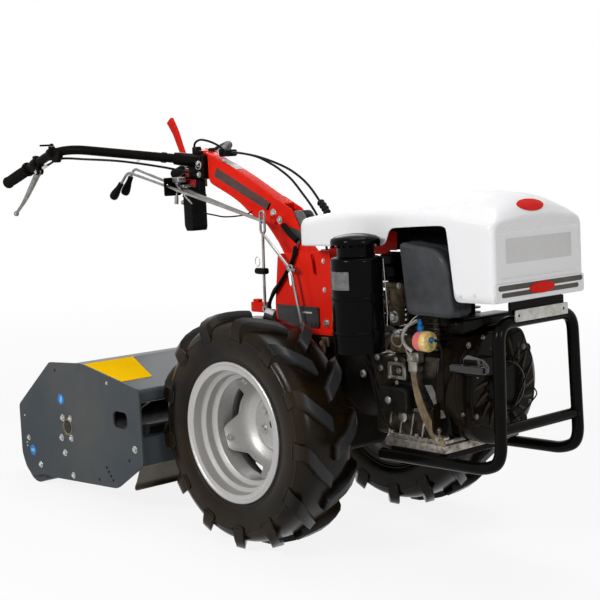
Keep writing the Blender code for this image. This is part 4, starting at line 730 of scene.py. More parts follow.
# The strap: flat bar, wide at the base and narrow at the top, held off the block by two spacers.
strap = [(391, 452), (397, 405), (411, 355), (441, 302), (466, 279), (490, 279)]
strap += [(463, 316), (433, 360), (414, 405), (407, 452)]
strap_shape = plate(flowing(strap + strap[:1], 3)[:-1], "y", -134.5, -130, 1.2)
for x, z in ((401, 440), (470, 292)):
    shapes.append(drum(8, -130.2, -108, (x, 0, z), "y", 20))
    shapes += bolt((x, -134.4, z), "y", 6.2, -1, 0.001 * x)
shapes += [
    box((380, -132, 454), (416, -112, 479), 3, 6, "y"),
    box((388, -136, 435), (414, -128, 460), 2, 4, "y"),
]
shapes += bolt((398, -132, 467), "y", 6.5, -1, 0.2)
# The pump's square flange, with its round plunger inside.
frame_line = softened([(320, 414), (376, 414), (376, 453), (320, 453)], 8)
window = softened([(331, 422), (365, 422), (365, 445), (331, 445)], 4)
shapes.append(plate(frame_line, "y", -132.5, -125.5, 1.6, [window]))
for x, z in ((325.5, 418.5), (370.5, 448.5), (348, 460), (348, 407)):
    shapes += bolt((x, -132, z), "y", 3.6, -1, 0.001 * z)
shapes.append(
    lathe([(0, -131.5), (5.5, -131.5), (7.5, -129.5), (7.5, -124), (0, -124)], (352, 0, 433.5), "y", 20)
)
piece("engine_base", shapes, alloy, crease=34)

# Barrel and head: fins cast round the bore and round the head, a bolt at each of its four corners, and the
# rocker cover on top. A tan manifold stands on the right with the intake duct above it.
shapes = [box((312, -66, 470), (418, 66, 590), 4, 20, "z", 5)]
for z in np.linspace(476, 582, 10):
    shapes.append(box((300, -78, z), (430, 78, z + 4.2), 1.2, 18, "z", 5))
piece("barrel_fins", shapes, painted_shade_casting, ["cylinder_barrel"], crease=34)
shapes = [
    box((296, -81, 590.5), (434, 81, 670), 6, 14),
    box((306, -66, 660), (424, 66, 699), 8, 16),
]
for z in np.linspace(597, 655, 6):
    shapes.append(box((292, -85, z), (438, 85, z + 3.8), 1, 16))
for x in (305, 425):
    for y in (-73, 73):
        shapes += bolt((x, y, 669.5), "z", 7.5, 1, 0.3)
piece("head_block", shapes, painted_shade_casting, ["cylinder_head"], crease=34)
tan = coated(
    "tan casting", (0.27, 0.205, 0.125), (0.085, 0.06, 0.035), 0.4, 0.6, clouds=30, grains=300, depth=0.7,
    metal=0.35,
)
shapes = [
    box((296, -104, 576), (348, -84, 628), 3, 6, "y"),
    box((290, -107, 616), (354, -84, 630), 2, 4, "y"),
    box((300, -100, 530), (332, -78, 580), 4, 8, "y"),
    box((310, -112, 470), (362, -78, 508), 5, 10, "y"),
    tube(flowing([(306, -106, 610), (303, -109, 585), (308, -110, 562), (314, -104, 545)], 5), 2.8, 8),
]
piece("engine_strap", [strap_shape], tan, crease=34)
piece("manifold_tan", shapes, tan, crease=34)
rows = [(318, -100.5, 551, 9.5, 0.2), (214, -105.5, 412, 7), (302, -104, 586, 4.5)]
rows += [(342, -107, 623, 4.5), (285, -118, 433, 5), (275, -118, 457, 5)]
piece("engine_bolts", bolts(rows, "y", -1), zinc)

# Dark castings on the engine's right: the governor's side cover with its one bolt, the intake duct with a
# bevelled corner, and the bracket that carries a plain grey strip.
crinkle = coated(
    "crinkle grey", (0.034, 0.036, 0.039), (0.058, 0.061, 0.066), 0.42, 0.62, clouds=14, grains=420,
    depth=1.0, coat=0.12,
)
cover_line = softened([(292, 338), (385, 338), (385, 398), (292, 398)], (10, 16, 20, 10))
shapes = [
    plate(cover_line, "y", -140, -110.5, 8),
    plate(inset(wound(cover_line, 1), -3), "y", -116.5, -110.3, 1.5),
]
cover_black = coated(
    "black casting", (0.0055, 0.0055, 0.0056), (0.013, 0.0115, 0.01), 0.22, 0.4, clouds=30, grains=420,
    depth=0.5, coat=0.1,
)
piece("governor_cover", shapes, cover_black, ["side_cover"], crease=40)
shapes = bolt((326, -139.8, 366), "y", 6.2, -1, 0.4)
piece("governor_bolt", shapes, zinc)
gloss = coated(
    "gloss black", (0.0024, 0.0024, 0.0026), (0.0044, 0.004, 0.0036), 0.16, 0.26, clouds=8, grains=300,
    depth=0.05, coat=0.05,
)
duct = [(298, 634), (350, 634), (352, 676), (338, 695), (298, 695)]
shapes = [
    plate(softened(duct, 6), "y", -122, -85.5, 4),
    plate(
        softened([(292, 628), (356, 628), (358, 680), (342, 698.5), (292, 698.5)], 6), "y", -92, -85.2, 1.5,
    ),
    plate(
        softened([(417, 421), (457, 425), (500, 331), (500, 300), (462, 322)], 5), "y", -124.5, -120.5, 1,
    ),
]
piece("duct_black", shapes, gloss, crease=34)
strip_line = softened([(426, 407), (448, 409), (486, 341), (470, 336)], 2)
strip_grey = coated(
    "plain grey strip", (0.16, 0.16, 0.155), (0.08, 0.078, 0.075), 0.35, 0.5, clouds=60, grains=700,
    depth=0.1,
)
piece("plain_strip", [plate(strip_line, "y", -125.2, -124.6, 0.2)], strip_grey)

# Fuel lines: a pale hose and a coiled pale line round the
# filter, blue ferrules and black hoses, all pushed on.
pale = coated(
    "pale hose", (0.55, 0.53, 0.48), (0.42, 0.4, 0.35), 0.25, 0.35, clouds=30, grains=600, depth=0.05,
    coat=0.3,
)
turn = np.linspace(np.radians(-60), np.radians(420), 40)
ring_x = 346 + (19 - 4 * turn / 7) * np.cos(turn)
ring_z = 502 + (17 - 4 * turn / 7) * np.sin(turn)
loop = np.stack([ring_x, np.linspace(-128, -120, 40), ring_z], 1)
hose = flowing(
    [(400, -112, 548), (383, -128, 536), (375, -136, 515), (381, -136, 496), (397, -130, 481)], 6,
)
line = flowing([(362, -124, 512), (372, -126, 500), (380, -130, 480), (392, -130, 468)], 5)
lead = flowing([(408, -118, 562), (400, -128, 552), (392, -132, 542), (385, -134, 530)], 5)
shapes = [tube(loop, 1.5, 8), tube(hose, 4.2, 12), tube(line, 2.2, 8), tube(lead, 1.2, 8)]
piece("pale_lines", shapes, pale)
blue = coated(
    "blue ferrule", (0.012, 0.16, 0.42), (0.01, 0.1, 0.3), 0.28, 0.4, clouds=60, grains=600, depth=0.1,
    metal=0.5,
)
shapes = [
    lathe(
        [(0, 530), (7.5, 530), (7.5, 541), (5, 543), (5, 552), (3.6, 553), (3.6, 560), (0, 560)],
        (430, -136, 0), "z", 20,
    ),
    lathe([(0, 455), (5.5, 455), (5.5, 464), (3.8, 465), (3.8, 474), (0, 474)], (0, -136, 511), "x", 20),
]
piece("blue_ferrules", shapes, blue)
hose_black = coated(
    "black hose", (0.004, 0.004, 0.004), (0.009, 0.008, 0.007), 0.35, 0.5, clouds=30, grains=700,
    depth=0.15,
)
feed = flowing([(430, -136, 556), (431, -134, 580), (424, -122, 606), (410, -100, 625), (398, -80, 640)], 6)
drip = flowing(
    [
        (470, -136, 511), (486, -140, 508), (496, -142, 492), (498, -142, 450), (494, -138, 410),
        (486, -132, 370),
    ],
    6,
)
sensor = flowing(
    [(200, -80, 455), (230, -112, 440), (262, -122, 400), (290, -132, 330), (330, -136, 300)], 6,
)
shapes = [tube(feed, 4, 12), tube(drip, 2.8, 10), tube(sensor, 3, 10)]
piece("black_hoses", shapes, hose_black)

# Fuel filter: a translucent pink-red bowl lying along the engine, its front end dyed yellow by the fuel.
FILTER_LINE = (0, -136, 507)
filter_red = coated(
    "filter red", (0.8, 0.24, 0.22), (0.66, 0.15, 0.14), 0.28, 0.38, clouds=30, grains=500, depth=0.05,
    coat=0.4,
)
profile = [(0, 421.5), (17.5, 421.5), (20.8, 423), (22, 426), (22.6, 431), (22.6, 444), (0, 444)]
piece("filter_bowl", [lathe(profile, FILTER_LINE, "x", 48)], filter_red, ["fuel_filter"])
amber = coated(
    "amber filter end", (0.84, 0.7, 0.3), (0.52, 0.33, 0.08), 0.28, 0.4, clouds=130, grains=500, depth=0.05,
    coat=0.4,
)
profile = [
    (0, 444), (23.2, 444), (23.4, 445.5), (23.2, 454), (22.2, 458), (20, 460), (12, 461), (10, 459),
    (0, 459),
]
piece("filter_end", [lathe(profile, FILTER_LINE, "x", 48)], amber)

# Exhaust box: a silencer in crinkle grey paint, folded from two pressings with a rolled seam, its front top
# corner drawn to a wide curve. A black shield stands behind it in the hood's cutaway.
box_line = softened([(390, 727), (529, 709), (544, 563), (408, 566)], (16, 55, 22, 14), 8)
shapes = [
    plate(box_line, "y", -157, -86, 10), plate(inset(wound(box_line, 1), -1.2), "y", -124, -120.5, 1.2),
]
piece("silencer", shapes, crinkle, ["exhaust_box"], crease=60)
shapes = [
    box((360, -85.8, 560), (546, -84.8, 760), 0.4), tube([(470, -100, 566), (470, -100, 540)], 14, 20),
]
shapes.append(
    tube(flowing([(500, -118, 566), (502, -122, 552), (510, -124, 546), (522, -122, 548)], 4), 3.5, 8)
)
piece("heat_shield", shapes, gloss)

# Air cleaner: an oil-bath can of gloss black steel, its bowl clamped to the body at two rolled seams, with
# a mushroom cap on its neck and an elbow to the head. A plain grey label is stuck to its side.
can = coated(
    "can black", (0.0014, 0.0014, 0.0015), (0.0024, 0.0023, 0.0022), 0.14, 0.2, clouds=5, grains=200,
    depth=0.03, coat=0.04,
)
profile = [(0, 485), (54, 485), (56.8, 486.2), (57.8, 489), (57.8, 527), (59, 528), (59.3, 530.5)]
profile += [(59, 533), (57.8, 534), (57.6, 604), (59.2, 605.2), (59.5, 607.8), (59.2, 610.2), (57.8, 611.2)]
profile += [(57.7, 688.5), (57, 692.5), (54.8, 695.5), (50, 697.5), (44, 698.5), (42.5, 699.5), (42, 705)]
profile += [(42, 724), (50, 724.5), (55, 725.5), (55.8, 728), (55.6, 733.5), (53.5, 738.5), (46, 743)]
profile += [(30, 747), (12, 749), (0, 749.5)]
shapes = [lathe(profile, (320, -217, 0), "z", 96)]
elbow = softened([(320, -175, 658), (320, -140, 658), (345, -120, 658), (345, -85.3, 658)], 20, 6, False)
shapes.append(tube(elbow, 17, 28))
shapes.append(tube(elbow[-3:-1], 18.5, 28))
shapes.append(box((300, -202, 560), (345, -150, 566), 1))
for height in (530.8, 607.7):
    shapes.append(box((374, -230, height - 10), (383.5, -215, height + 10), 1.5))
for x, y in circle(320, -217, 52, 12):
    shapes.append(box((x - 3, y - 3, 719.5), (x + 3, y + 3, 725.5), 0.8))
piece("air_can", shapes, can, ["air_cleaner"], crease=40)


def wrap(low_turn, high_turn, low, high, radius, centre, thick=0.4):
    """A thin patch round an upright can: a grid of angle and height at two radii, closed at its edges."""
    turn = np.radians(np.linspace(low_turn, high_turn, 13))[:, None]
    loop = np.array([(radius, low), (radius + thick, low), (radius + thick, high), (radius, high)])[None]
    x = centre[0] + loop[..., 0] * np.cos(turn)
    y = centre[1] + loop[..., 0] * np.sin(turn)
    return skin(stacked(x, y, loop[..., 1]))


label_grey = coated(
    "plain grey label", (0.16, 0.16, 0.16), (0.09, 0.09, 0.09), 0.35, 0.5, clouds=90, grains=700, depth=0.1,
)
piece("can_label", [wrap(-114, -62, 628, 668, 57.7, (320, -217))], label_grey)
wire = flowing([(352, -165, 690), (358, -168, 640), (362, -168, 580), (360, -168, 540)], 5)
piece("can_clip_wire", [tube(wire, 1.1, 8)], zinc)

# Fuel tank and inner parts under the hood: black moulded tank, crankshaft and bladed flywheel.
tank_black = coated(
    "tank plastic", (0.006, 0.006, 0.0065), (0.012, 0.012, 0.012), 0.42, 0.58, clouds=20, grains=500,
    depth=0.35,
)
shapes = [box((110, -66, 700), (345, 110, 768), 12, 20), box((108, -68, 732), (347, 112, 738), 2, 21)]
piece("tank_shell", shapes, tank_black, ["fuel_tank"], crease=50)
steel = coated(
    "dark steel", (0.2, 0.19, 0.18), (0.12, 0.11, 0.1), 0.3, 0.45, clouds=40, grains=700, depth=0.2,
    metal=0.9,
)
shaft = [(0, 256), (17, 256), (18, 257), (18, 494), (0, 494)]
piece("crank_bar", [lathe(shaft, CRANK_LINE, "x", 40)], steel, ["crankshaft"], body="crank")
rim_line = [(0, 495), (96, 495), (100, 497), (100, 506), (96, 508), (30, 508), (26, 514), (0, 514)]
blade_turn = np.arange(16)[:, None, None] * np.pi / 8
way = np.linspace(0, 1, 5)[None, :, None]
corner = np.array([(-1, 507), (1, 507), (1, 519), (-1, 519)])[None, None]
reach = 60 + 40 * way
spread_turn = blade_turn + 0.35 * way**2 + corner[..., 0] * 1.2 / reach
fan = stacked(corner[..., 1], reach * np.cos(spread_turn), CRANK_HEIGHT + reach * np.sin(spread_turn))
piece(
    "fan_wheel", [lathe(rim_line, CRANK_LINE, "x", 72), skin(fan)], steel, ["flywheel"],
    body="crank", crease=34,
)

# Fan shroud and recoil starter: gloss black pressings on the engine's
# front. The starter cover has a raised pot, a ring of cooling vanes and
# stiffening ribs, and its rope runs out through a guide to a T-shaped grip.
# The warm brown in this black is partly dust and partly a painted reflection of the floor.
black_dust_and_reflection = coated(
    "black with warm dust and painted reflection", (0.003, 0.0029, 0.0028), (0.011, 0.0066, 0.0028), 0.16, 0.3, clouds=10,
    grains=300, depth=0.08, coat=0.06,
)
ring = [(134, 465.3), (134.5, 468), (133.5, 470), (133.5, 514), (135, 516), (135, 522.8), (130, 523)]
ring += [(130, 514), (129, 470), (129, 465.3), (134, 465.3)]
back = [(62, 464), (132, 464), (132, 466.5), (62, 466.5), (62, 464)]
shapes = [lathe(ring, CRANK_LINE, "x", 120), lathe(back, CRANK_LINE, "x", 80)]
shapes += [
    box((466.5, -150, 300), (470.5, -90, 372), 1, 20, "x", 6),
    box((466, -100, 520), (520, 80, 556), 6, 12, "x"),
]
piece("shroud_ring", shapes, black_dust_and_reflection, ["fan_shroud"], crease=36)
cover = [(0, 563), (0, 569), (44, 568.8), (50, 567.2), (54, 563), (59, 550), (62, 548.5)]
cover += [(66, 548.5), (104, 544), (110, 542.5), (124, 536), (132, 530.5), (134.5, 527), (134.5, 523.5)]
cover += [(131, 523.5), (127, 530), (106, 538), (60, 543), (51, 560), (0, 563)]
shapes = [lathe(cover, CRANK_LINE, "x", 120)]
lobes = softened(
    [
        (68, 524), (97, 456), (108, 391), (104, 347), (40, 312), (-40, 306), (-100, 330), (-112, 391),
        (-100, 456), (-60, 524),
    ],
    22, 5,
)
shapes.append(plate(lobes, "x", 530, 549.5, 4))
shapes.append(box((532, -120, 436), (582, -62, 476), 4, 8))
for y, z in circle(0, CRANK_HEIGHT, 112, 4, 38):
    shapes.append(lathe([(0, 524), (13, 524), (12, 545), (10, 547), (0, 547)], (0, y, z), "x", 24))
guards = [[(552, -30, 470), (572, -10, 440), (572, 45, 500), (552, 60, 516)]]
guards += [[(552, -20, 330), (574, 0, 352), (574, 70, 452), (552, 84, 470)]]
guards += [[(552, 20, 318), (570, 35, 335), (570, 90, 370), (552, 100, 380)]]
shapes += [tube(softened(path, 12, 4, False), 1.6, 8) for path in guards]
piece("recoil_cover", shapes, black_dust_and_reflection, ["starter_cover"], crease=36)
vane = coated(
    "vane brown", (0.036, 0.026, 0.016), (0.018, 0.013, 0.008), 0.35, 0.5, clouds=30, grains=500, depth=0.2,
    metal=0.3,
)
vane_turn = (np.arange(18)[:, None, None] + 0.5) * np.pi / 9
way = np.linspace(0, 1, 4)[None, :, None]
corner = np.array([(-1, 548), (1, 548), (0.3, 556), (-1, 556)])[None, None]
reach = 66 + 36 * way
turn = vane_turn + 0.18 * way + corner[..., 0] * 5 / reach
vanes = stacked(corner[..., 1] - 6 * way, reach * np.cos(turn), CRANK_HEIGHT + reach * np.sin(turn))
piece("recoil_vanes", [skin(vanes)], vane, crease=30)
shapes = []
for y, z in ((-88, 434), (86, 350), (-96, 345), (70, 478)):
    shapes += bolt((549, y, z), "x", 4.2, 1, 0.001 * y)
rows = [(534, -98, 500, 4.8), (545, -62, 512, 4.8)]
rows += [(470, -132, 312, 5), (530, -118, 352, 4.4)]
shapes += bolts(rows, "x", 1)
piece("recoil_bolts", shapes, steel)
# The rope guide's satin grey bracket, with three round holes, stands beside the grip.
bracket = softened([(536, 460), (606, 448), (606, 464), (592, 476), (548, 483), (536, 474)], 4)
holes = [circle(x, 469.5, 4.2, 14) for x in (554, 570, 586)]
satin = coated(
    "satin grey steel", (0.12, 0.125, 0.13), (0.07, 0.072, 0.075), 0.3, 0.45, clouds=30, grains=600,
    depth=0.1, metal=0.6,
)
piece("guide_bracket", [plate(bracket, "y", -119.5, -116.5, 0.8, holes)], satin)
grip_line = softened([(519, 447.5), (615, 447.5), (615, 464.5), (519, 464.5)], 5.5, 5)
shapes = [
    plate(grip_line, "y", -148, -126, 4),
    lathe([(0, -128), (8, -128), (7.8, -120.5), (0, -120.5)], (567, 0, 456), "y", 24),
]
for low_x, high_x in ((523, 559), (575, 611)):
    shapes.append(box((low_x, -145, 462.5), (high_x, -129, 465.5), 1, 3))
grip_black = coated(
    "grip gloss black", (0.006, 0.006, 0.0062), (0.01, 0.01, 0.01), 0.12, 0.2, clouds=30, grains=600,
    depth=0.05, coat=0.35, gloss=0.3,
)
piece("grip_bar", shapes, grip_black, ["starter_grip"], body="starter_pull", crease=40)
rope = coated("starter rope", (0.05, 0.05, 0.05), (0.02, 0.02, 0.02), 0.7, 0.85, clouds=200, depth=0.6)
rope_path = np.array([(567, y, 456) for y in np.linspace(-120.3, -62, 12)])
rope_run = piece("rope_stub", [tube(rope_path, 2.2, 8)], rope, body=None)
start, end = stand(rope_path[[0, -1]]).tolist()
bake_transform(rope_run)

# Hood: one white plastic moulding 3 mm thick, arched over tank and engine and
# cut away round the silencer. Its front has a sunk panel, a stepped lower
# band with two grooves, and plain red ovals; two small screws hold each side.
HOOD_HALF = 154
# Each station: x, lower edge, shoulder height, ridge height, and what it lacks of the half width.
STATIONS = [
    (52, 713, 766, 775, 32), (56, 713, 768.5, 777.5, 18), (66, 713, 770.5, 780.5, 7),
    (88, 713, 772.5, 785.5, 1), (150, 713.2, 780, 796, 0), (224, 714, 788, 806, 0),
    (290, 715, 790.5, 813, 0), (330, 716.5, 791.5, 817, 0), (345, 721, 792, 818.5, 0),
    (354, 733, 792, 819.5, 0), (360, 746, 792, 820, 0), (368, 753.5, 792, 821, 0),
    (380, 756.5, 792, 822.5, 0), (430, 759, 790, 826, 0), (485, 761.2, 786.8, 828.5, 0),
    (515, 761.5, 785, 829, 0), (527, 758, 784, 829, 0), (532, 748, 783.5, 829, 0),
    (540, 685, 782, 828.5, 0), (547, 626, 780, 828, 0), (550, 609, 779.5, 827.8, 0),
    (558, 601, 778.3, 827, 0), (580, 600, 775.2, 825, 0), (605, 600, 771.5, 820.5, 0),
    (625, 600, 769, 812, 0), (640, 600, 766.5, 800, 0.4), (649, 600, 764, 788, 2.2),
    (654.5, 600, 760.5, 779, 6), (657, 600, 756, 770, 11),
]


def hood_surface():
    """A grid of arches: at each x, side, shoulder and crown points joined smoothly both across and along."""
    stations = flowing(STATIONS, 3)
    x, low, shoulder, ridge, narrower = stations.T
    half = HOOD_HALF - narrower
    rise = ridge - shoulder
    wall = shoulder - 12 - low
    keys = [
        (half, low),
        (half, low + 0.45 * wall),
        (half, low + 0.85 * wall),
        (half - 0.8, shoulder - 10),
        (half - 4, shoulder - 2),
        (half - 11, shoulder + 4 + 0.04 * rise),
        (half - 30, shoulder + 5 + 0.3 * rise),
        (0.66 * half, ridge - 0.36 * rise),
        (0.36 * half, ridge - 0.09 * rise),
        (0 * half, ridge),
    ]
    side = np.stack([np.stack(key, 1) for key in keys])
    arch = np.concatenate([side * (-1, 1), side[-2::-1]])
    arch = flowing(arch.reshape(len(arch), -1), 4).reshape(-1, len(x), 2)
    return stacked(x, arch[..., 0], arch[..., 1])


def sheet(points):
    """An open skin: the grid's own quads, without lids."""
    return points.reshape(-1, 3), [grid_faces(*points.shape[:2])]


def flat_wall(line, x, holes=()):
    """A flat fill across the nose: triangles between the outline and its holes."""
    loops = [wound(line, 1)] + [wound(hole, -1) for hole in holes]
    spots = np.vstack(loops)
    return np.column_stack([np.full(len(spots), x), spots]), [fill(loops)]


white = coated(
    "white hood plastic", (0.82, 0.82, 0.83), (0.8, 0.8, 0.812), 0.24, 0.3, clouds=3, grains=300,
    depth=0.02, coat=0.25,
)
hood_grid = hood_surface()
rim = hood_grid[:, -1, 1:]
panel = softened([(-138, 648), (138, 648), (138, 748), (-138, 748)], 10, 5)
sunk = inset(wound(panel, 1), 2.2)
step = np.stack(
    [np.column_stack([np.full(len(panel), x), line]) for x, line in ((657, wound(panel, 1)), (653.7, sunk))]
)
step_faces = [grid_faces(2, len(panel), False, True)]
shapes = [
    sheet(hood_grid), flat_wall(rim, 657, [panel]), (step.reshape(-1, 3), step_faces),
    flat_wall(sunk, 653.7),
]
hood = piece("hood_shell", shapes, white, ["hood"], crease=30)
# The hood's inner face is coloured near black as painted shade.
hood_inside_painted_shade = coated(
    "hood inside", (0.01, 0.01, 0.0105), (0.006, 0.006, 0.0062), 0.6, 0.75, clouds=12, grains=300,
    depth=0.2,
)
hood.data.materials.append(hood_inside_painted_shade)
wall = hood.modifiers.new("wall", "SOLIDIFY")
wall.thickness = 0.003
wall.offset = -1
wall.use_even_offset = True
wall.material_offset = 1
wall.material_offset_rim = 0
band = softened([(-150, 601), (150, 601), (150, 640), (-150, 640)], 6, 4)
grooves = [stadium((-136, 630.5), (140, 630.5), 5.6), stadium((-126, 615.5), (126, 615.5), 5)]
piece("hood_band", [plate(band, "x", 656.6, 659.2, 1.8, grooves)], white, crease=40)
warm_grey = coated(
    "warm grey groove", (0.105, 0.095, 0.078), (0.07, 0.062, 0.05), 0.3, 0.4, clouds=8, grains=300,
    depth=0.04,
)
shapes = [plate(line, "x", 656.8, 657.9, 0.3) for line in grooves]
piece("hood_grooves", shapes, warm_grey)
badge_red = coated(
    "red oval", (0.7, 0.02, 0.012), (0.58, 0.014, 0.01), 0.26, 0.34, clouds=20, grains=300, depth=0.03,
    coat=0.03, gloss=0.03,
)
oval = circle(0, 0, 1.0, 48)
shapes = [plate(oval * (43, 12.5) + (2, 622.5), "x", 658.8, 660, 0.8)]
piece("oval_low", shapes, badge_red, crease=60)
band_grey = coated(
    "plain band", (0.66, 0.655, 0.64), (0.6, 0.595, 0.58), 0.24, 0.32, clouds=8, grains=300, depth=0.04,
    coat=0.2,
)
line = softened([(-108, 680), (114, 680), (114, 732), (-108, 732)], 4)
piece("plain_band", [plate(line, "x", 653.6, 654.15, 0.2)], band_grey)


def draped_oval(centre, reach, lift):
    """An oval on the hood: a disc's x and y, looked up as row and column of the hood grid and raised."""
    turn = np.linspace(0, 2 * np.pi, 48, endpoint=False)
    share = np.linspace(0, 1, 7)[:, None]
    middle = len(hood_grid) // 2
    rows = hood_grid[middle, :, 0]
    near_row = np.argmin(np.abs(rows - centre[0]))
    row = np.interp(centre[0] + reach[0] * share * np.cos(turn), rows, np.arange(len(rows)))
    columns = hood_grid[:, near_row, 1]
    column = np.interp(centre[1] + reach[1] * share * np.sin(turn), columns, np.arange(len(columns)))
    i, j = row.astype(int), column.astype(int)
    s, t = (row - i)[..., None], (column - j)[..., None]
    near = hood_grid[j, i] * (1 - t) + hood_grid[j + 1, i] * t
    far = hood_grid[j, i + 1] * (1 - t) + hood_grid[j + 1, i + 1] * t
    top = near * (1 - s) + far * s
    out = np.array((0.66, 0.0, 0.75))
    return skin(np.concatenate([top + out * lift, top[::-1] - out * 0.4]))


oval = draped_oval((639.5, -7), (11.5, 43), 1.2)
piece("oval_high", [oval], badge_red, crease=70)
shapes = []
for side in SIDES.values():
    for x, z in ((567, 613), (606, 616)):
        shapes.append(lathe(
            np.array([(0, 153.5), (3.6, 153.5), (3.4, 155.2), (2.2, 156.2), (0, 156.2)]) * (1, side),
            (x, 0, z), "y", 20,
        ))
piece("hood_screws", shapes, band_grey)

# Bumper: one bent tube that runs from under the engine up to the hood and
# back, gloss black, with a cross bar, the engine's tray and the tab that holds
# the hood. A bare steel plate with two holes and two rivets is on its top.
black = coated(
    "black paint", (0.002, 0.0019, 0.0019), (0.0044, 0.0034, 0.0025), 0.16, 0.28, grains=260, depth=0.05,
    coat=0.05,
)
half_loop = [(295, -134, 238), (600, -134, 243), (646, -134, 262), (642, -126, 556)]
loop = np.array(half_loop + [(x, -y, z) for x, y, z in half_loop[::-1]])
loop_line = softened(loop, (40, 22, 40, 42, 42, 40, 22, 40), 9, False)
bar_line = np.array([(643, y, 329) for y in np.linspace(-124, 124, 9)])
shapes = [
    tube(loop_line, 13.5, 28),
    tube(bar_line, 12.15, 24),
    box((320, -134, 240), (470, 134, 257.7), 3, 6),
    box((312, -120, 244), (480, -108, 256), 2),
    box((645.5, -30, 556), (653.2, 30, 599), 1.5),
    box((646.2, -98, 570), (652.8, 84, 598.5), 1.2, 4, "x"),
]
for y in (-123.6, 123.6):
    collar = np.array([(643, y + shift, 329) for shift in (-2, 0, 2)])
    shapes.append(tube(collar, 14, 24))
for side in SIDES.values():
    for x in (345, 445):
        shapes += bolt((x, side * 121, 240), "z", 6.5, -1)
piece("bumper_loop", shapes, black, ["bumper_frame"], crease=40)
galvanised = coated(
    "galvanised plate", (0.52, 0.505, 0.475), (0.34, 0.33, 0.305), 0.32, 0.5, clouds=55, grains=700,
    depth=0.25, metal=0.75,
)
line = softened([(-89, 556), (89, 556), (89, 581), (-89, 581)], 3)
holes = [circle(-78, 569, 3.2, 20), circle(74, 569, 3.2, 20)]
shapes = [plate(line, "x", 655.8, 659.8, 0.6, holes)]
for y in (-56, 45):
    shapes.append(
        lathe([(0, 659), (6.2, 659), (5.8, 660.2), (3.6, 660.8), (0, 660.9)], (0, y, 569), "x", 24)
    )
piece("bare_plate", shapes, galvanised, ["bumper_plate"])

# Handlebar column: a red pressed-steel arm on the turret, with a plain dark strip on each side. Steel
# cheeks in its forked front end swing on the mount's pin, and a short rubber buffer stands beside them.
arm = [(-502, 960), (-444, 948), (-401, 929), (-309, 891), (-173, 823), (-140, 807.6)]
arm += [(-160, 750), (-208, 755), (-269, 776), (-322, 816), (-444.5, 867), (-444.5, 944.7), (-502, 957)]
fork = [(-180, 826), (-173, 823), (-110, 793.5), (-76, 738), (-138, 752), (-140, 741), (-89, 698)]
fork += [(-119, 659), (-208, 755), (-230, 765)]
corner = (1, 30, 30, 50, 30, 4, 10, 30, 50, 50, 20, 12, 1)
shapes = [plate(softened(arm, corner, 5), "y", -20, 20, 4.8)]
for side in SIDES.values():
    fork_line = softened(fork, (1, 1, 6, 6, 2, 2, 6, 10, 20, 1), 4)
    shapes.append(plate(fork_line, "y", side * 17.2, side * 20.3, 0.8))
piece("column_arm", shapes, red, ["handlebar_column"], body="column", crease=40)
decal = coated(
    "dark strip", (0.105, 0.045, 0.042), (0.06, 0.038, 0.036), 0.34, 0.44, clouds=60, grains=700,
    depth=0.05, coat=0.2,
)
strip_line = softened([(-405, 906.5), (-186, 808.5), (-200, 789), (-418, 883.5)], 3)
shapes = [plate(strip_line, "y", low, low + 0.4, 0.1) for low in (-20.3, 19.9)]
piece("column_strips", shapes, decal, body="column")
# A pale strip on the column's top is a painted highlight, in the label's colour.
painted_highlight_strip = softened([(-396, -12), (-330, -12), (-330, 12), (-396, 12)], 3)
points, faces = plate(painted_highlight_strip, "z", 0, 0.4, 0.1)
points[:, 2] += np.interp(points[:, 0], [-401, -309], [928.9, 890.9])
piece("column_painted_highlight", [(points, faces)], label, body="column")
cheek = [
    (-205, 752), (-205, 785), (-130, 785), (-104, 788.5), (-74, 790), (-52, 760), (-88, 706), (-118, 668),
    (-140, 690),
]
shapes = []
for side in SIDES.values():
    shapes.append(plate(softened(cheek, 10, 4), "y", side * 13.7, side * 16.7, 0.6))
shapes.append(drum(6, -13.7, 13.7, (-96, 0, 772), "y", 24))
cheek_steel = coated(
    "cheek steel", (0.17, 0.17, 0.165), (0.1, 0.1, 0.095), 0.3, 0.45, clouds=40, grains=500, depth=0.1,
    metal=0.7,
)
piece("cheek_plates", shapes, cheek_steel, ["column_cheeks"], body="column")
shapes = []
for side in SIDES.values():
    for x, z, size in ((-178.5, 783, 7.8), (-156, 766, 6.8), (-480, 910, 5.5)):
        shapes += bolt((x, side * 19.9, z), "y", size, side, 0.001 * x)
piece("column_bolts", shapes, zinc, body="column")
buffer = flowing([(-136, -27, 753), (-122, -29, 742), (-105, -29, 728), (-86, -27, 714)], 5)
shapes = [tube(buffer, 7.5, 16)]
piece("column_buffer", shapes, hose_black, body="column")
# The mount between the turret's walls, a red casting on a steel pin.
frame["nodes"]["column_mount"].data.materials.clear()
frame["nodes"]["column_mount"].data.materials.append(red)

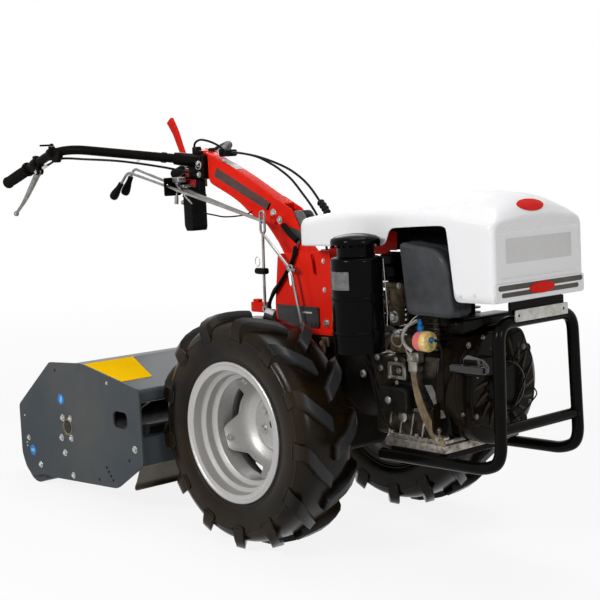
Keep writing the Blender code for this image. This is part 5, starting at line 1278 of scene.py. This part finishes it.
# Head: a black clamp block on the column's rear end, with two sockets for the handle tubes, their lock
# rings and bolts, small dark red latches below it, and a guide plate for the shift rods.
shapes = [
    box((-512, -36, 876), (-444.8, 36, 943.7), 5, 10, "y"),
    box((-506, -40, 912), (-452, 40, 940), 4, 8, "y"),
    box((-498, -26, 940), (-460, 26, 954), 3, 6, "y"),
    lathe([(0, 943.7), (13, 943.7), (13, 962), (10.5, 965.5), (0, 965.5)], (-490, -18, 0), "z", 24),
    lathe([(0, 943.7), (9, 943.7), (9, 958), (7, 960.5), (0, 960.5)], (-463, 12, 0), "z", 24),
]
HANDLE_OUT = 300
HANDLE_CORNERS = {
    word: np.array(
        [(-472, side * 20, 926.5), (-732, side * HANDLE_OUT, 979), (-1024, side * HANDLE_OUT, 890)]
    )
    for word, side in SIDES.items()
}
for start, corner, end in HANDLE_CORNERS.values():
    socket = np.linspace(start, start + (corner - start) * 0.19, 6)
    shapes.append(tube(socket, [17.5, 17.8, 17.8, 17.8, 17.8, 16.5], 28))
piece("head_block_black", shapes, black, ["handle_head"], body="column", crease=40)
rows = [(-519, -36, 918, 5.2), (-462, -36, 920, 6.8, 0.4)]
rows += [(-462, -36, 890, 5.8, 0.2), (-495, -39.8, 926, 5)]
shapes = bolts(rows, "y", -1)
shapes += bolts([(-462, 36, 920, 6.8), (-462, 36, 890, 5.8)], "y", 1)
shapes.append(
    lathe([(10.5, -40.5), (12.5, -40), (12.5, -37), (10.5, -36.5), (10.5, -40.5)], (-460, 0, 915), "y", 32)
)
piece("head_bolts", shapes, zinc, body="column")
latch_red = coated(
    "dark red latch", (0.42, 0.012, 0.01), (0.26, 0.01, 0.008), 0.25, 0.38, clouds=30, grains=400,
    depth=0.06, coat=0.4,
)
shapes = [
    plate(softened([(-531, 909), (-506, 905), (-502, 880), (-527, 884)], 4), "y", -33, -29, 0.8),
    plate(softened([(-523, 880), (-488, 874), (-484, 846), (-519, 852)], 5), "y", -35, -31, 0.8),
    box((-505, -33, 856), (-486, 10, 876.4), 1.5),
]
piece("head_latches", shapes, latch_red, body="column")
piece("latch_rivet", bolt((-496, -35, 860), "y", 3.4, -1), label, body="column")
GUIDE_HOLES = {"gear": (-90, 862.5), "take_off": (-58, 865)}
guide = softened(
    [(-100, 835), (-48, 835), (8, 896.5), (8, 908.5), (-12, 908.5), (-48, 885), (-100, 885)], 5,
)
holes = [circle(y, z, 5.2, 16) for y, z in GUIDE_HOLES.values()]
shapes = [
    plate(guide, "x", -540, -534, 1.2, holes),
    box((-540, -10, 896.5), (-512.3, 8, 908.5), 1.2),
]
piece("guide_black", shapes, black, ["rod_guide"], body="column")
# Beside the guide: a small choke lever and a thin stay of dull steel, on two small blocks.
stay = coated(
    "dull steel", (0.3, 0.295, 0.28), (0.17, 0.165, 0.155), 0.3, 0.45, clouds=60, grains=700, depth=0.2,
    metal=0.85,
)
choke = flowing([(-512, -62, 876), (-524, -64, 856), (-531, -64, 836), (-534, -64, 812)], 4)
silver_stay = flowing([(-528, -74, 876), (-505, -74, 856), (-480, -73, 832), (-456, -70, 812)], 4)
shapes = [
    tube(choke, np.interp(np.linspace(0, 1, len(choke)), [0, 0.6, 0.75, 1], [2.4, 2.6, 5.6, 5.8]), 12),
    tube(silver_stay, 2.4, 10),
    box((-530, -80, 870), (-500, -50, 885), 3, 5),
    box((-524, -70, 856), (-490, -30, 864), 2),
]
piece("guide_fittings", shapes, stay, body="column")

# Control box: a black plastic case hung from the head on a
# strap, with a slanted foot. Black cable clip on the arm.
moulded = coated(
    "black moulded plastic", (0.004, 0.004, 0.0042), (0.008, 0.008, 0.0082), 0.34, 0.48, clouds=18,
    grains=600, depth=0.25,
)
case = softened([(-522, 752), (-514, 737), (-488, 737), (-484, 748), (-484, 855), (-522, 855)], 3)
shapes = [
    plate(case, "y", -50, 2, 2.5),
    box((-523.5, -51.5, 830), (-482.5, 3.5, 835), 1, 3),
    box((-505, -30, 848), (-470, -10, 875.7), 1.5),
]
for z in (770, 790, 810):
    shapes.append(box((-515, -51.2, z), (-491, -49.5, z + 4), 0.6))
piece("control_case", shapes, moulded, ["control_box"], body="column")
shapes = [
    box((-402, -14, 934.5), (-356, 16, 953), 4, 6, "y"),
    box((-396, -16.5, 940), (-384, 18.5, 956), 2),
    box((-374, -16.5, 937), (-362, 18.5, 952), 2),
]
piece("clip_black", shapes, moulded, ["cable_clip"], body="column")

# Handles: bent steel tubes in gloss black from the head's sockets out and back, with ribbed rubber grips, a
# perch for each brake lever, a clamp ring and the throttle's stub.
LEVER_PIN = np.array((-850, 0, 917))
slope = unit(np.array((-292, 0, -89)))


def on_handle(x, side):
    """The point at x on a handle's straight rear end, which falls from its bend as the slope says."""
    return np.array((x, side * HANDLE_OUT, 979 + (x + 732) * slope[2] / slope[0]))


throttle_at = on_handle(-775, -1)
handle_black = coated(
    "handle black", (0.0022, 0.0021, 0.0021), (0.005, 0.004, 0.003), 0.34, 0.46, grains=260, depth=0.1,
    gloss=0.03,
)
for word, side in SIDES.items():
    start, corner, end = HANDLE_CORNERS[word]
    ring_at = on_handle(-862, side)
    lug = softened([(-875, 925), (-842, 938), (-838, 916), (-846, 908), (-862, 912)], 3)
    low, high = side * HANDLE_OUT - 9.5, side * HANDLE_OUT + 9.5
    shapes = [
        tube(softened(HANDLE_CORNERS[word], (0, 75, 0), 14, False), 12.5, 28),
        tube(ring_at + slope * np.linspace(-14, 14, 5)[:, None], [15.8, 17, 17, 17, 15.8], 28),
        plate(lug, "y", low, low + 6.2, 1),
        plate(lug, "y", high - 6.2, high, 1),
        tube(ring_at + slope * np.linspace(-28, -18, 3)[:, None] + (0, 0, -6), 10.5, 24),
        box((-872, side * HANDLE_OUT - 6, 948), (-852, side * HANDLE_OUT + 6, 962), 3),
    ]
    band_at = start + (corner - start) * np.array([[0.245], [0.262], [0.279]])
    shapes.append(tube(band_at, 14.6, 24))
    if word == "right":
        shapes.append(
            tube(throttle_at + slope * np.linspace(-10, 10, 5)[:, None], [15.5, 16.5, 16.5, 16.5, 15.5], 28)
        )
        shapes.append(lathe([(0, 0), (9.5, 0), (9, 19.2), (0, 19.2)], throttle_at, "z", 24))
        trigger = [
            (-800, 955), (-728, 972), (-730, 954), (-744, 940), (-760, 940), (-772, 948), (-800, 946),
        ]
        shapes.append(plate(softened(trigger, 3), "y", -307, -293, 1.5))
    else:
        shapes.append(box((-888, 269.3, 915), (-868, 300, 929), 2.5))
    piece(
        f"handle_bar_{word}", shapes, handle_black, [f"handle_tube_{word}"], body="column",
        crease=40,
    )
    grip_start = on_handle(-905, side)
    reach = np.concatenate([[0, 0.6, 3.4, 4], np.linspace(4.6, 117.5, 130), [119, 121, 124, 126.2, 128]])
    ribs = 14.8 + 0.9 * np.tanh(3 * np.sin(2 * np.pi * reach / 7.2)) + 0.8 * np.sin(np.pi * reach / 118)
    width = np.where(reach < 4.1, [19.6] + [20.4] * (len(reach) - 1), ribs)
    width[-5:] = (17, 17.4, 17, 15, 9)
    grip_rubber = coated(
        f"grip rubber {word}", (0.0045, 0.0044, 0.0043), (0.01, 0.008, 0.0065), 0.5, 0.66, clouds=40,
        depth=0.4,
    )
    grip = tube(grip_start + slope * reach[:, None], width, 28)
    piece(
        f"grip_ribbed_{word}", [grip], grip_rubber, [f"grip_{word}"], body="column",
        crease=50,
    )
    # The brake lever: forged steel, thickest just past its pin and thinner towards the ball at its tip.
    pin = LEVER_PIN * (1, 0, 1) + (0, side * HANDLE_OUT, 0)
    blade = flowing(
        [
            (4, 0, 0), (-12, 0, -10), (-28, 0, -26), (-56, 0, -52), (-80, 0, -74), (-106, 0, -94),
            (-136, 0, -114),
        ],
        6,
    )
    share = np.linspace(0, 1, len(blade))
    thick = np.interp(share, [0, 0.1, 0.3, 0.6, 0.85, 1.0], [6.6, 9, 8.6, 6.8, 4.8, 4.4])
    ball_turn = np.linspace(-np.pi / 2, np.pi / 2, 13)
    ball = np.stack([7.8 * np.cos(ball_turn), 7.8 * np.sin(ball_turn)], 1)
    hub = [(0, -3), (8.5, -3), (8.5, 3), (0, 3)]
    shapes = [
        tube(pin + blade, thick, 14), lathe(ball, pin + (-138, 0, -116), "z", 24), lathe(hub, pin, "y", 24),
    ]
    piece(
        f"brake_blade_{word}", shapes, stay, [f"brake_lever_{word}"], body=f"{word}_lever",
        crease=50,
    )
shapes = []
for side in SIDES.values():
    shapes += bolt((-850, side * HANDLE_OUT + 9.5, 917), "y", 4, 1)
    shapes += bolt((-850, side * HANDLE_OUT - 9.5, 917), "y", 4, -1)
    shapes += bolt((-862, side * HANDLE_OUT, 960.5), "z", 3.6, 1)
    cable_end = [(x, side * 299.5, z) for x, z in ((-826, 928), (-812, 931.8), (-800, 935))]
    shapes.append(tube(cable_end, [4.8, 4.8, 3.6], 14))
shapes += bolt((-588, -145, 936), "z", 4, -1)
piece("perch_bolts", shapes, zinc, body="column")

# Hand levers: a red safety lever beside the left grip, cut from thick plastic and widened for the thumb,
# and the black throttle lever on the right handle.
lever_line = np.array([(6, 0), (-20, 18), (-40, 54), (-60, 96), (-88, 136)])
curve = flowing(lever_line, 6)
width = np.interp(np.linspace(0, 1, len(curve)), [0, 0.25, 0.5, 0.75, 1], [9, 9, 10, 12, 14.5])
run = unit(np.gradient(curve, axis=0))
across = np.stack([run[:, 1], -run[:, 0]], 1) * width[:, None]
outline = np.vstack([curve + across, (curve - across)[::-1]]) + (-897, 925)
lever_plastic = coated(
    "red plastic", (0.7, 0.016, 0.009), (0.6, 0.012, 0.008), 0.28, 0.38, clouds=20, grains=500, depth=0.08,
    coat=0.04, gloss=0.03,
)
shapes = [plate(softened(outline, 4, 3), "y", 257, 269, 3)]
piece("safety_blade", shapes, lever_plastic, ["safety_lever"], body="safety", crease=50)
pin = throttle_at + (0, 0, 22.5)
thumb = stadium(tuple(pin[:2]), (pin[0] - 10, pin[1] - 24), 6.6)
shapes = [
    plate(thumb, "z", pin[2] - 2.7, pin[2] + 2.3, 1.2),
    lathe([(0, 0), (4.2, 0), (3.6, 2.2), (0, 2.6)], pin + (0, 0, 2.2), "z", 20),
]
piece("throttle_thumb", shapes, moulded, ["throttle_lever"], body="throttle", crease=40)

# Shift rods: two bright steel rods through the guide plate, each with a tapered black knob on its bent end
# and a pin through the slot of the link below. The links turn on pins at the gearbox.
bright = coated(
    "bright rod", (0.36, 0.355, 0.345), (0.2, 0.195, 0.185), 0.22, 0.34, clouds=25, grains=300, depth=0.0,
    metal=0.92,
)
ROD_LINES = {
    "gear": (-90, (-133, 765), (-720, 905), (-788, 846), (8.5, 470), (-32, 646)),
    "take_off": (-58, (-171, 763), (-735, 915), (-778, 858), (-176, 540), (-174, 640)),
}
for name, (y, end, bend, low, foot, knee) in ROD_LINES.items():
    spots = np.array([(end[0], y, end[1]), (bend[0], y, bend[1]), (low[0], y, low[1])])
    pin = np.array([(end[0], y, end[1]), (end[0], y - 12.2, end[1])])
    shapes = [tube(softened(spots, 18, 7, False), 4, 16), tube(pin, 3, 14)]
    shapes += [tube(np.array([(end[0], y - 11.2, end[1]), (end[0], y - 12.2, end[1])]), 5.2, 16)]
    piece(f"{name}_bar", shapes, bright, [f"{name}_rod"], body=f"{name}_shift", crease=50)
    down = unit(spots[2] - spots[1])
    reach = np.array([0, 0.8, 10, 20, 32, 45, 53, 58, 60.8, 62])
    width = np.array([6, 7.5, 7.8, 8.6, 10.6, 12.5, 12.4, 11.4, 8.8, 4])
    knob = tube(spots[2] + down * (flowing(reach[:, None], 4) - 42), flowing(width[:, None], 4)[:, 0], 28)
    piece(f"{name}_knob", [knob], moulded, body=f"{name}_shift", crease=60)
    # The link: an eye, a bent stem and a flat head with an upright slot, all one forging.
    link_y = y - 8.5
    low_y, high_y = link_y - 2.5, link_y + 2.5
    ends = (end[0], end[1] - 20), (end[0], end[1] + 20)
    stem_start = foot + unit(np.array(knee) - foot) * 8.5
    stem = [
        (stem_start[0], link_y, stem_start[1]), (knee[0], link_y, knee[1]),
        (end[0], link_y, ends[0][1] - 9),
    ]
    shapes = [
        plate(stadium(*ends, 10.5), "y", low_y, high_y, 0.8, [stadium(*ends, 5.6)]),
        plate(circle(*foot, 9.5, 28), "y", low_y, high_y, 0.8, [circle(*foot, 3.3, 16)]),
        tube(softened(stem, 16, 6, False), 3.8, 14),
    ]
    piece(f"{name}_link_bar", shapes, bright, [f"{name}_link"], body=f"{name}_arm", crease=50)
# A black clamp with a wire ring on the take-off link, and a
# ring clamp on the gear link that holds a cable loom.
ring_turn = np.linspace(0, 2 * np.pi, 25)
ring = np.stack([-192 + 9 * np.cos(ring_turn), np.full(25, -71), 662 + 12 * np.sin(ring_turn)], 1)
piece("link_wire_ring", [tube(ring, 1.2, 8)], zinc, body="take_off_arm")
shapes = [
    box((-196, -76, 630), (-160, -60, 646), 3, 6, "y"), tube([(-200, -68, 638), (-188, -68, 638)], 8, 18),
]
piece("link_clamp", shapes, moulded, body="take_off_arm")
ring = np.stack([-36 + 9.5 * np.cos(ring_turn), np.full(25, -98.5), 652 + 7 * np.sin(ring_turn)], 1)
shapes = [tube(ring, 2.8, 10), box((-40, -102, 644), (-16, -95, 652), 2)]
piece("link_ring", shapes, stay, body="gear_arm")
loom = flowing(
    [
        (-30, -83, 705), (-40, -84, 675), (-62, -84, 645), (-100, -84, 604), (-132, -83, 570),
        (-150, -83, 530),
    ],
    7,
)
twin = flowing(
    [
        (-24, -81, 700), (-48, -82, 660), (-84, -82, 622), (-122, -82, 590), (-140, -80, 556),
        (-146, -80, 520),
    ],
    7,
)
shapes = [tube(loom, 4.8, 12), tube(twin, 3.6, 12)]
piece("cable_loom", shapes, hose_black)
# A small red bracket under the links, beside the take-off link's post.
shapes = [box((-236, -64, 530), (-184, -45, 556), 2, 4, "y"), box((-224, -66, 556), (-204, -50, 564), 1.5)]
piece("red_bracket", shapes, red)

# Cables: black sheathed control cables with moulded ends. Two leave the clip
# over the column's bend and run down behind the hood into the turret; the
# brake's runs from the right perch to the head.
sheath = coated(
    "cable sheath", (0.0045, 0.0045, 0.0047), (0.008, 0.0078, 0.0075), 0.28, 0.4, clouds=30, grains=500,
    depth=0.06, coat=0.08,
)
throttle_line = [(-355.5, -8, 944), (-312, -14, 942), (-232, -20, 930), (-163, -20, 912)]
throttle_line += [(-109, -20, 893), (-64, -20, 869), (-32, -20, 844), (-2, -20, 812)]
throttle_line += [(20, -20, 788), (36, -20, 750), (36, -20, 700), (36, -20, 650)]
clutch_line = [(-355.5, 6, 944), (-306, 0, 939), (-251, -4, 929), (-199, -4, 910)]
clutch_line += [(-165, -4, 894), (-122, -4, 868), (-84, -4, 833), (-52, -4, 801)]
clutch_line += [(-28, -4, 770), (-10, -4, 730), (0, -4, 680), (0, -4, 645)]


def bellows_radius(line, start, end, ribs):
    """The sheath's radius, and between two shares of its length a row of ribs, each half a sine wave."""
    way = np.cumsum(np.r_[0, np.linalg.norm(np.diff(line, axis=0), axis=1)])
    way /= way[-1]
    share = (way - start) / (end - start)
    return np.where((share > 0) & (share < 1), 7.2 + 3 * np.abs(np.sin(np.pi * ribs * share)), 3.1)


curve = flowing(throttle_line, 14)
length = bellows_radius(curve, 0.69, 0.765, 4)
cable = piece(
    "throttle_sheath", [tube(curve, length, 14)], sheath, ["throttle_cable"], body=None,
    crease=60,
)
start, end = stand(curve[[14 * 6, 14 * 9]]).tolist()
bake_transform(cable)
curve = flowing(clutch_line, 10)
cable = piece(
    "clutch_sheath", [tube(curve, bellows_radius(curve, 0.8, 0.83, 1), 14)], sheath,
    ["clutch_cable"], body=None, crease=60,
)
start, end = stand(curve[[10 * 5, 10 * 9]]).tolist()
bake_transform(cable)
brake_line = [(-800, -299.5, 935), (-745, -292, 950), (-680, -252, 945), (-600, -192, 935)]
brake_line += [(-520, -118, 915), (-482, -70, 900), (-474, -52, 897), (-472, -37.2, 896)]
curve = flowing(brake_line, 9)
over_head = flowing(
    [
        (-512, -10, 960), (-508, -10, 974), (-494, -10, 982), (-470, -11, 983), (-432, -11, 975),
        (-400, -9, 962), (-385, -6, 950),
    ],
    7,
)
under_arm = flowing(
    [
        (-484, -30, 790), (-440, -36, 784), (-400, -40, 780), (-355, -38, 775), (-292, -26, 779),
        (-262, -18, 790),
    ],
    6,
)
piece(
    "brake_sheath", [tube(curve, 3.1, 12)], sheath, ["brake_cable"], body="column",
    crease=60,
)
piece(
    "column_cables", [tube(over_head, 3.1, 12), tube(under_arm, 2, 10)], sheath,
    body="column",
)

# Mulcher: a flail head in slate-grey steel sheet behind the wheels. Two side plates, bolted and spot-welded
# to a folded deck and a channel, carry the rotor and the ground roller; a front flap hangs from the deck.
ROTOR_SPOT = (-623, 0, 236)
SIDE_PLATES = {"right": (-400, -394), "left": (358, 364)}
slate = coated(
    "slate paint", (0.044, 0.056, 0.066), (0.082, 0.084, 0.082), 0.28, 0.38, clouds=2.2, grains=240,
    depth=0.05, coat=0.02, gloss=0.05,
)
plate_line = softened([
    (-698, 405), (-541, 414), (-283, 368), (-280, 176), (-402, 101), (-712, 86),
    (-770, 87), (-800, 78), (-830, 80), (-852, 98), (-870, 135), (-870, 273),
], (8, 20, 14, 14, 14, 20, 10, 10, 10, 10, 12, 10), 4)
window = softened([(-402, 304), (-340, 304), (-340, 262), (-402, 262)], 15, 5)
SMALL_HOLES = [(-669, 385), (-340, 182), (-445, 150), (-436, 140), (-427, 130), (-418, 120), (-482, 113)]
holes = [window] + [circle(x, z, 4, 14) for x, z in SMALL_HOLES]
bearing = circle(*ROTOR_SPOT[::2], 24, 36)
piece(
    "side_plate_right", [plate(plate_line, "y", *SIDE_PLATES["right"], 1.2, holes + [bearing])], slate,
    ["mulcher_plate_right"],
)
piece(
    "side_plate_left", [plate(plate_line, "y", *SIDE_PLATES["left"], 1.2, holes)], slate,
    ["mulcher_plate_left"],
)


def ribbon(line, thick):
    """A folded sheet's outline: the line, and the line moved over by its thickness along its normals."""
    line = np.asarray(line, float)
    run = unit(np.gradient(line, axis=0))
    return np.vstack([line, (line + thick * np.stack([run[:, 1], -run[:, 0]], 1))[::-1]])


deck = softened(
    [(-866, 262), (-697, 392), (-541, 411), (-286.5, 365.5), (-286.5, 332), (-318, 332)], 10, 5, False,
)
shapes = [
    plate(ribbon(deck, 5), "y", -393.7, 357.7, 0.4),
    plate(
        ribbon(
            [(-325.5, 235), (-325.5, 244), (-285.5, 244), (-285.5, 176), (-325.5, 176), (-325.5, 185)], 4,
        ),
        "y", -393.7, 357.7, 0.6,
    ),
]
piece("deck_sheet", shapes, slate, ["mulcher_deck"], crease=32)
# Inside, the drive box, its cross tube, the deck's underside and the side plates' inner faces are coloured
# nearly black as painted shade.
painted_shade_inside = coated(
    "inside with painted shade", (0.009, 0.0095, 0.01), (0.005, 0.0048, 0.0042), 0.55, 0.75, clouds=12, grains=240,
    depth=0.2,
)
under_deck = softened([(-850, 262), (-694, 383.5), (-541, 402), (-320, 362)], 10, 5, False)
shapes = [
    box((-345, -55, 180), (-285.7, 55, 360), 3, 6),
    tube([(-315.5, 55, 275), (-315.5, 357.7, 275)], 24, 32),
    plate(ribbon(under_deck, 0.6), "y", -393, 357, 0.1),
    plate(inset(wound(plate_line, 1), 12), "y", 357, 357.6, 0.1),
    plate(inset(wound(plate_line, 1), 12), "y", -393.6, -393, 0.1, [window, bearing]),
]
for y in (-250, 200):
    shapes.append(box((-318, y, 208), (-290, y + 6, 345), 1))
piece("deck_inside", shapes, painted_shade_inside, crease=34)
# A plain yellow sticker lies on the deck's slope, and
# two round blue ones with a pale mark on the side plate.
yellow = coated(
    "plain yellow sticker", (0.93, 0.55, 0.004), (0.86, 0.49, 0.004), 0.4, 0.48, clouds=10, grains=300,
    depth=0.03, gloss=0.0,
)
slope_line = np.array([(-541, 411.2), (-290.5, 366.4)])
patch = softened([(0.012, -0.393), (0.69, -0.393), (0.69, -0.295), (0.012, -0.235)], 0.003, 2) * (1, 1000)
top_face = np.column_stack(
    [slope_line[0] + (slope_line[1] - slope_line[0]) * patch[:, :1], patch[:, 1:]]
)[:, (0, 2, 1)]
under = top_face - (0, 0, 0.2)
over = top_face + (0.1, 0, 0.7)
points, faces = skin(np.stack([under, over]))
piece("deck_sticker", [(points, faces)], yellow)
plain_blue = coated(
    "plain blue sticker", (0.01, 0.16, 0.5), (0.008, 0.13, 0.42), 0.3, 0.38, clouds=20, grains=300,
    depth=0.03, coat=0.2,
)
shapes = [
    plate(circle(-647, 309, 15, 32), "y", -400.5, -399.9, 0.1),
    plate(circle(-809, 149.5, 15, 32), "y", -400.5, -399.9, 0.1),
]
piece("side_stickers", shapes, plain_blue)
pale_blue = coated(
    "pale blue mark", (0.16, 0.5, 0.8), (0.12, 0.44, 0.74), 0.3, 0.38, clouds=20, grains=300, depth=0.03,
)
marks = [stadium((-648, 304), (-645, 313), 5), stadium((-815, 149.5), (-804, 150), 4.5)]
piece("sticker_marks", [plate(line, "y", -400.8, -400.4, 0.1) for line in marks], pale_blue)
SIDE_BOLTS = [(-642, 259, 6.6), (-605, 261, 5.8), (-652, 204, 6.6), (-604, 208, 6.2)]
SIDE_BOLTS += [(-640, 164, 6.4), (-605, 107, 6), (-826, 183, 5.6), (-770, 114, 6.2)]
SIDE_BOLTS += [(-310, 215, 6.6), (-421, 373, 3.2)]
shapes = []
for x, z, size in SIDE_BOLTS:
    shapes += bolt((x, -400, z), "y", size, -1, 0.009 * x)
    shapes += bolt((x, 364, z), "y", size * 0.9, 1, 0.009 * x)
piece("mulcher_bolts", shapes, zinc)
shapes = []
for x, z in ((-842, 244), (-838, 168), (-837, 159)):
    shapes.append(lathe([(0, -399.8), (2.6, -399.8), (2.2, -401.4), (0, -401.8)], (x, 0, z), "y", 14))
piece("mulcher_rivets", shapes, label)
# Belt case on the left plate: a deep-drawn cover with a flange and a stiffening bead, over the drive belt.
case_ends = (ROTOR_SPOT[::2], (-345, 272))
shapes = [
    plate(stadium(*case_ends, 65.5, 20), "y", 364.3, 399, 7),
    plate(stadium(*case_ends, 66, 20), "y", 364.3, 367.5, 1),
    plate(stadium((-600, 239), (-368, 269), 30, 14), "y", 398, 400, 1.2),
]
piece("belt_cover", shapes, slate, ["belt_case"], crease=36)
# Input gearbox and coupling between the gearbox's boss and the mulcher: black casting with a clamped neck.
shapes = [
    box((-285.2, -62, 222), (-238, 62, 342), 6, 14, "x"),
    lathe(
        [(0, -260), (46, -242), (40, -232), (40, -213.5), (38.5, -212), (0, -212)], TAKE_OFF_LINE, "x", 48,
    ),
]
for y in (-48, 48):
    for z in (236, 328):
        shapes += bolt((-238.2, y, z), "x", 5.5, 1)
piece("input_gearbox", shapes, cast, ["mulcher_gearbox"], crease=34)
profile = [
    (0, -211.7), (52, -211.7), (54, -210), (54, -196), (60, -193), (60, -183), (54, -180), (54, -167),
    (52, -165), (0, -165),
]
shapes = [lathe(profile, TAKE_OFF_LINE, "x", 56)]
for y, z in circle(0, TAKE_OFF_HEIGHT, 58, 6):
    shapes.append(drum(4.8, -199, -177, (0, y, z), "x", 6))
piece("coupling_ring", shapes, cast, ["take_off_coupling"], crease=34)

# Rotor and roller: a steel tube with 14 flails set round it in a spiral, on stub shafts in the side plates,
# and a closed roller behind it that carries the mulcher.
worn = coated(
    "worn dark steel", (0.04, 0.041, 0.042), (0.018, 0.018, 0.018), 0.34, 0.52, clouds=24, grains=500,
    depth=0.3, metal=0.5,
)
profile = [
    (0, -399), (13, -399), (16.5, -397), (16.5, -390), (35, -390), (35, 354), (16.5, 354), (16.5, 363),
    (0, 363),
]
FLAILS = 14
pitch = (354 + 390 - 40) / FLAILS
number = np.arange(FLAILS)[:, None, None]
turn = 2.4 * number
reach = np.array([30, 60, 92, 104, 112])[None, :, None]
half_long = np.array([12, 12, 18, 18, 15])[None, :, None]
corner_u = np.array([-1, 1, 1, -1])[None, None]
corner_v = np.array([-1, -1, 1, 1])[None, None]
across = -370 + pitch * (number + 0.5) + 6 * corner_u
sideways = half_long * corner_v
flails = stacked(
    ROTOR_SPOT[0] + reach * np.sin(turn) + sideways * np.cos(turn),
    across,
    ROTOR_SPOT[2] + reach * np.cos(turn) - sideways * np.sin(turn),
)
piece(
    "rotor_flails", [lathe(profile, ROTOR_SPOT, "y", 40), skin(flails)], worn,
    ["flail_rotor"], body="rotor", crease=34,
)
bearing_profile = [(17.2, -394.5), (23.6, -394.5), (23.6, -400), (21, -400), (17.2, -398.5), (17.2, -394.5)]
piece("rotor_bearing", [lathe(bearing_profile, ROTOR_SPOT, "y", 40)], raw)
profile = [(0, -392.5), (12, -392.5), (12, -386), (53.5, -386), (55, -384.5)]
profile += [(55, 348.5), (53.5, 350), (12, 350), (12, 356.5), (0, 356.5)]
piece(
    "roller_drum_steel", [lathe(profile, (-815, 0, 110.5), "y", 64)], slate, ["roller"],
    body="roller_drum", crease=34,
)

# Front flap: a sheet on a long knuckle under the deck's channel, with a folded stiff lower edge.
foot = [(-305.5, 171.5), (-312, 160), (-328, 128), (-337.5, 113), (-338.5, 108), (-335, 106.2), (-328, 108)]
shapes = [
    plate(ribbon(foot, 2.2), "y", -388, 352, 0.3),
    drum(4, -388, 352, (-305.5, 0, 171.5), "y", 20),
]
flap_finish = coated(
    "flap paint", (0.12, 0.1, 0.078), (0.08, 0.068, 0.052), 0.28, 0.4, clouds=8, grains=240, depth=0.08,
    coat=0.3,
)
piece("flap_sheet", shapes, flap_finish, ["front_flap"], body="flap", crease=34)

# The studio: a pale floor that runs out to a white surround, soft light from large panels, and a camera at
# the photograph's place. The world and the floor show white only to the camera and in reflections.
LENS = 80.294
TURN = np.radians(47.971)
RISE = np.radians(8.748)
CAMERA_FROM_AXLE = (2.38467, -2.26994, 0.78841)
FILL_LIGHT = 0.24


def seen_directly(tree):
    """1 for rays from the camera, off a glossy surface or through glass, 0 for the rays that carry light."""
    path = add(tree, "LightPath").outputs
    seen = sums(tree, "MAXIMUM", path["Is Camera Ray"], path["Is Glossy Ray"])
    return sums(tree, "MAXIMUM", seen, path["Is Transmission Ray"])


floor_mesh = bpy.data.meshes.new("floor")
rim_turn = np.linspace(0, 2 * np.pi, 96, endpoint=False)
floor_rim = np.stack([40 * np.cos(rim_turn), 40 * np.sin(rim_turn), np.full(96, -0.0002)], -1)
floor_mesh.from_pydata(floor_rim.tolist(), [], [list(range(96))])
floor = bpy.data.objects.new("floor", floor_mesh)
bpy.context.scene.collection.objects.link(floor)
floor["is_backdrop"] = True
floor_finish = bpy.data.materials.new("studio floor")
floor_finish.use_nodes = True
tree = floor_finish.node_tree
shader = tree.nodes["Principled BSDF"]
shader.inputs["Base Color"].default_value = (0.86, 0.86, 0.86, 1)
shader.inputs["Roughness"].default_value = 0.9
shader.inputs["Specular IOR Level"].default_value = 0.0
glow = add(tree, "Emission")
blend_in = add(tree, "MixShader")
place = add(tree, "TexCoord")
reach = add(tree, "VectorMath", operation="LENGTH")
join(tree, (place, "Object", reach, 0))
far = add(tree, "MapRange", {"From Min": 1.3, "From Max": 3.6, "To Min": 0.87, "To Max": 1.0})
join(tree, (reach, "Value", far, "Value"))
tree.links.new(sums(tree, "MULTIPLY", seen_directly(tree), far.outputs["Result"]), blend_in.inputs[0])
output = tree.nodes["Material Output"]
join(tree, (shader, 0, blend_in, 1), (glow, 0, blend_in, 2), (blend_in, 0, output, "Surface"))
floor_mesh.materials.append(floor_finish)

world = bpy.data.worlds.new("studio")
bpy.context.scene.world = world
world.use_nodes = True
tree = world.node_tree
sky = tree.nodes["Background"]
strength = sums(tree, "ADD", FILL_LIGHT, sums(tree, "MULTIPLY", seen_directly(tree), 1 - FILL_LIGHT))
tree.links.new(strength, sky.inputs["Strength"])
sky.inputs["Color"].default_value = (1, 1, 1, 1)

AIM = Vector((float(AXLE[0]), 0.0, 0.45))
PANELS = {
    "overhead": ((0.3, 0.2, 3.0), 1.3, 30),
    "key": ((0.3, -3.2, 2.0), 0.75, 66),
    "front": ((3.4, -0.6, 1.5), 0.6, 20),
    "back": ((-2.6, 2.4, 2.2), 1.4, 16),
}
for name, (spot, width, power) in PANELS.items():
    lamp = bpy.data.lights.new(name, "AREA")
    lamp.shape = "RECTANGLE"
    lamp.size = width
    lamp.size_y = width
    lamp.energy = power
    panel = bpy.data.objects.new(name, lamp)
    panel.location = spot
    panel.rotation_euler = (AIM - Vector(spot)).to_track_quat("-Z", "Y").to_euler()
    bpy.context.scene.collection.objects.link(panel)

lens = bpy.data.cameras.new("camera")
lens.lens = LENS
lens.sensor_width = 36.0
camera = bpy.data.objects.new("camera", lens)
look = Vector((-np.sin(TURN) * np.cos(RISE), np.cos(TURN) * np.cos(RISE), -np.sin(RISE)))
camera.location = Vector(AXLE.tolist()) + Vector(CAMERA_FROM_AXLE)
camera.rotation_euler = look.to_track_quat("-Z", "Y").to_euler()
bpy.context.scene.collection.objects.link(camera)
bpy.context.scene.camera = camera
bpy.context.scene.view_settings.view_transform = "Standard"

low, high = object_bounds()
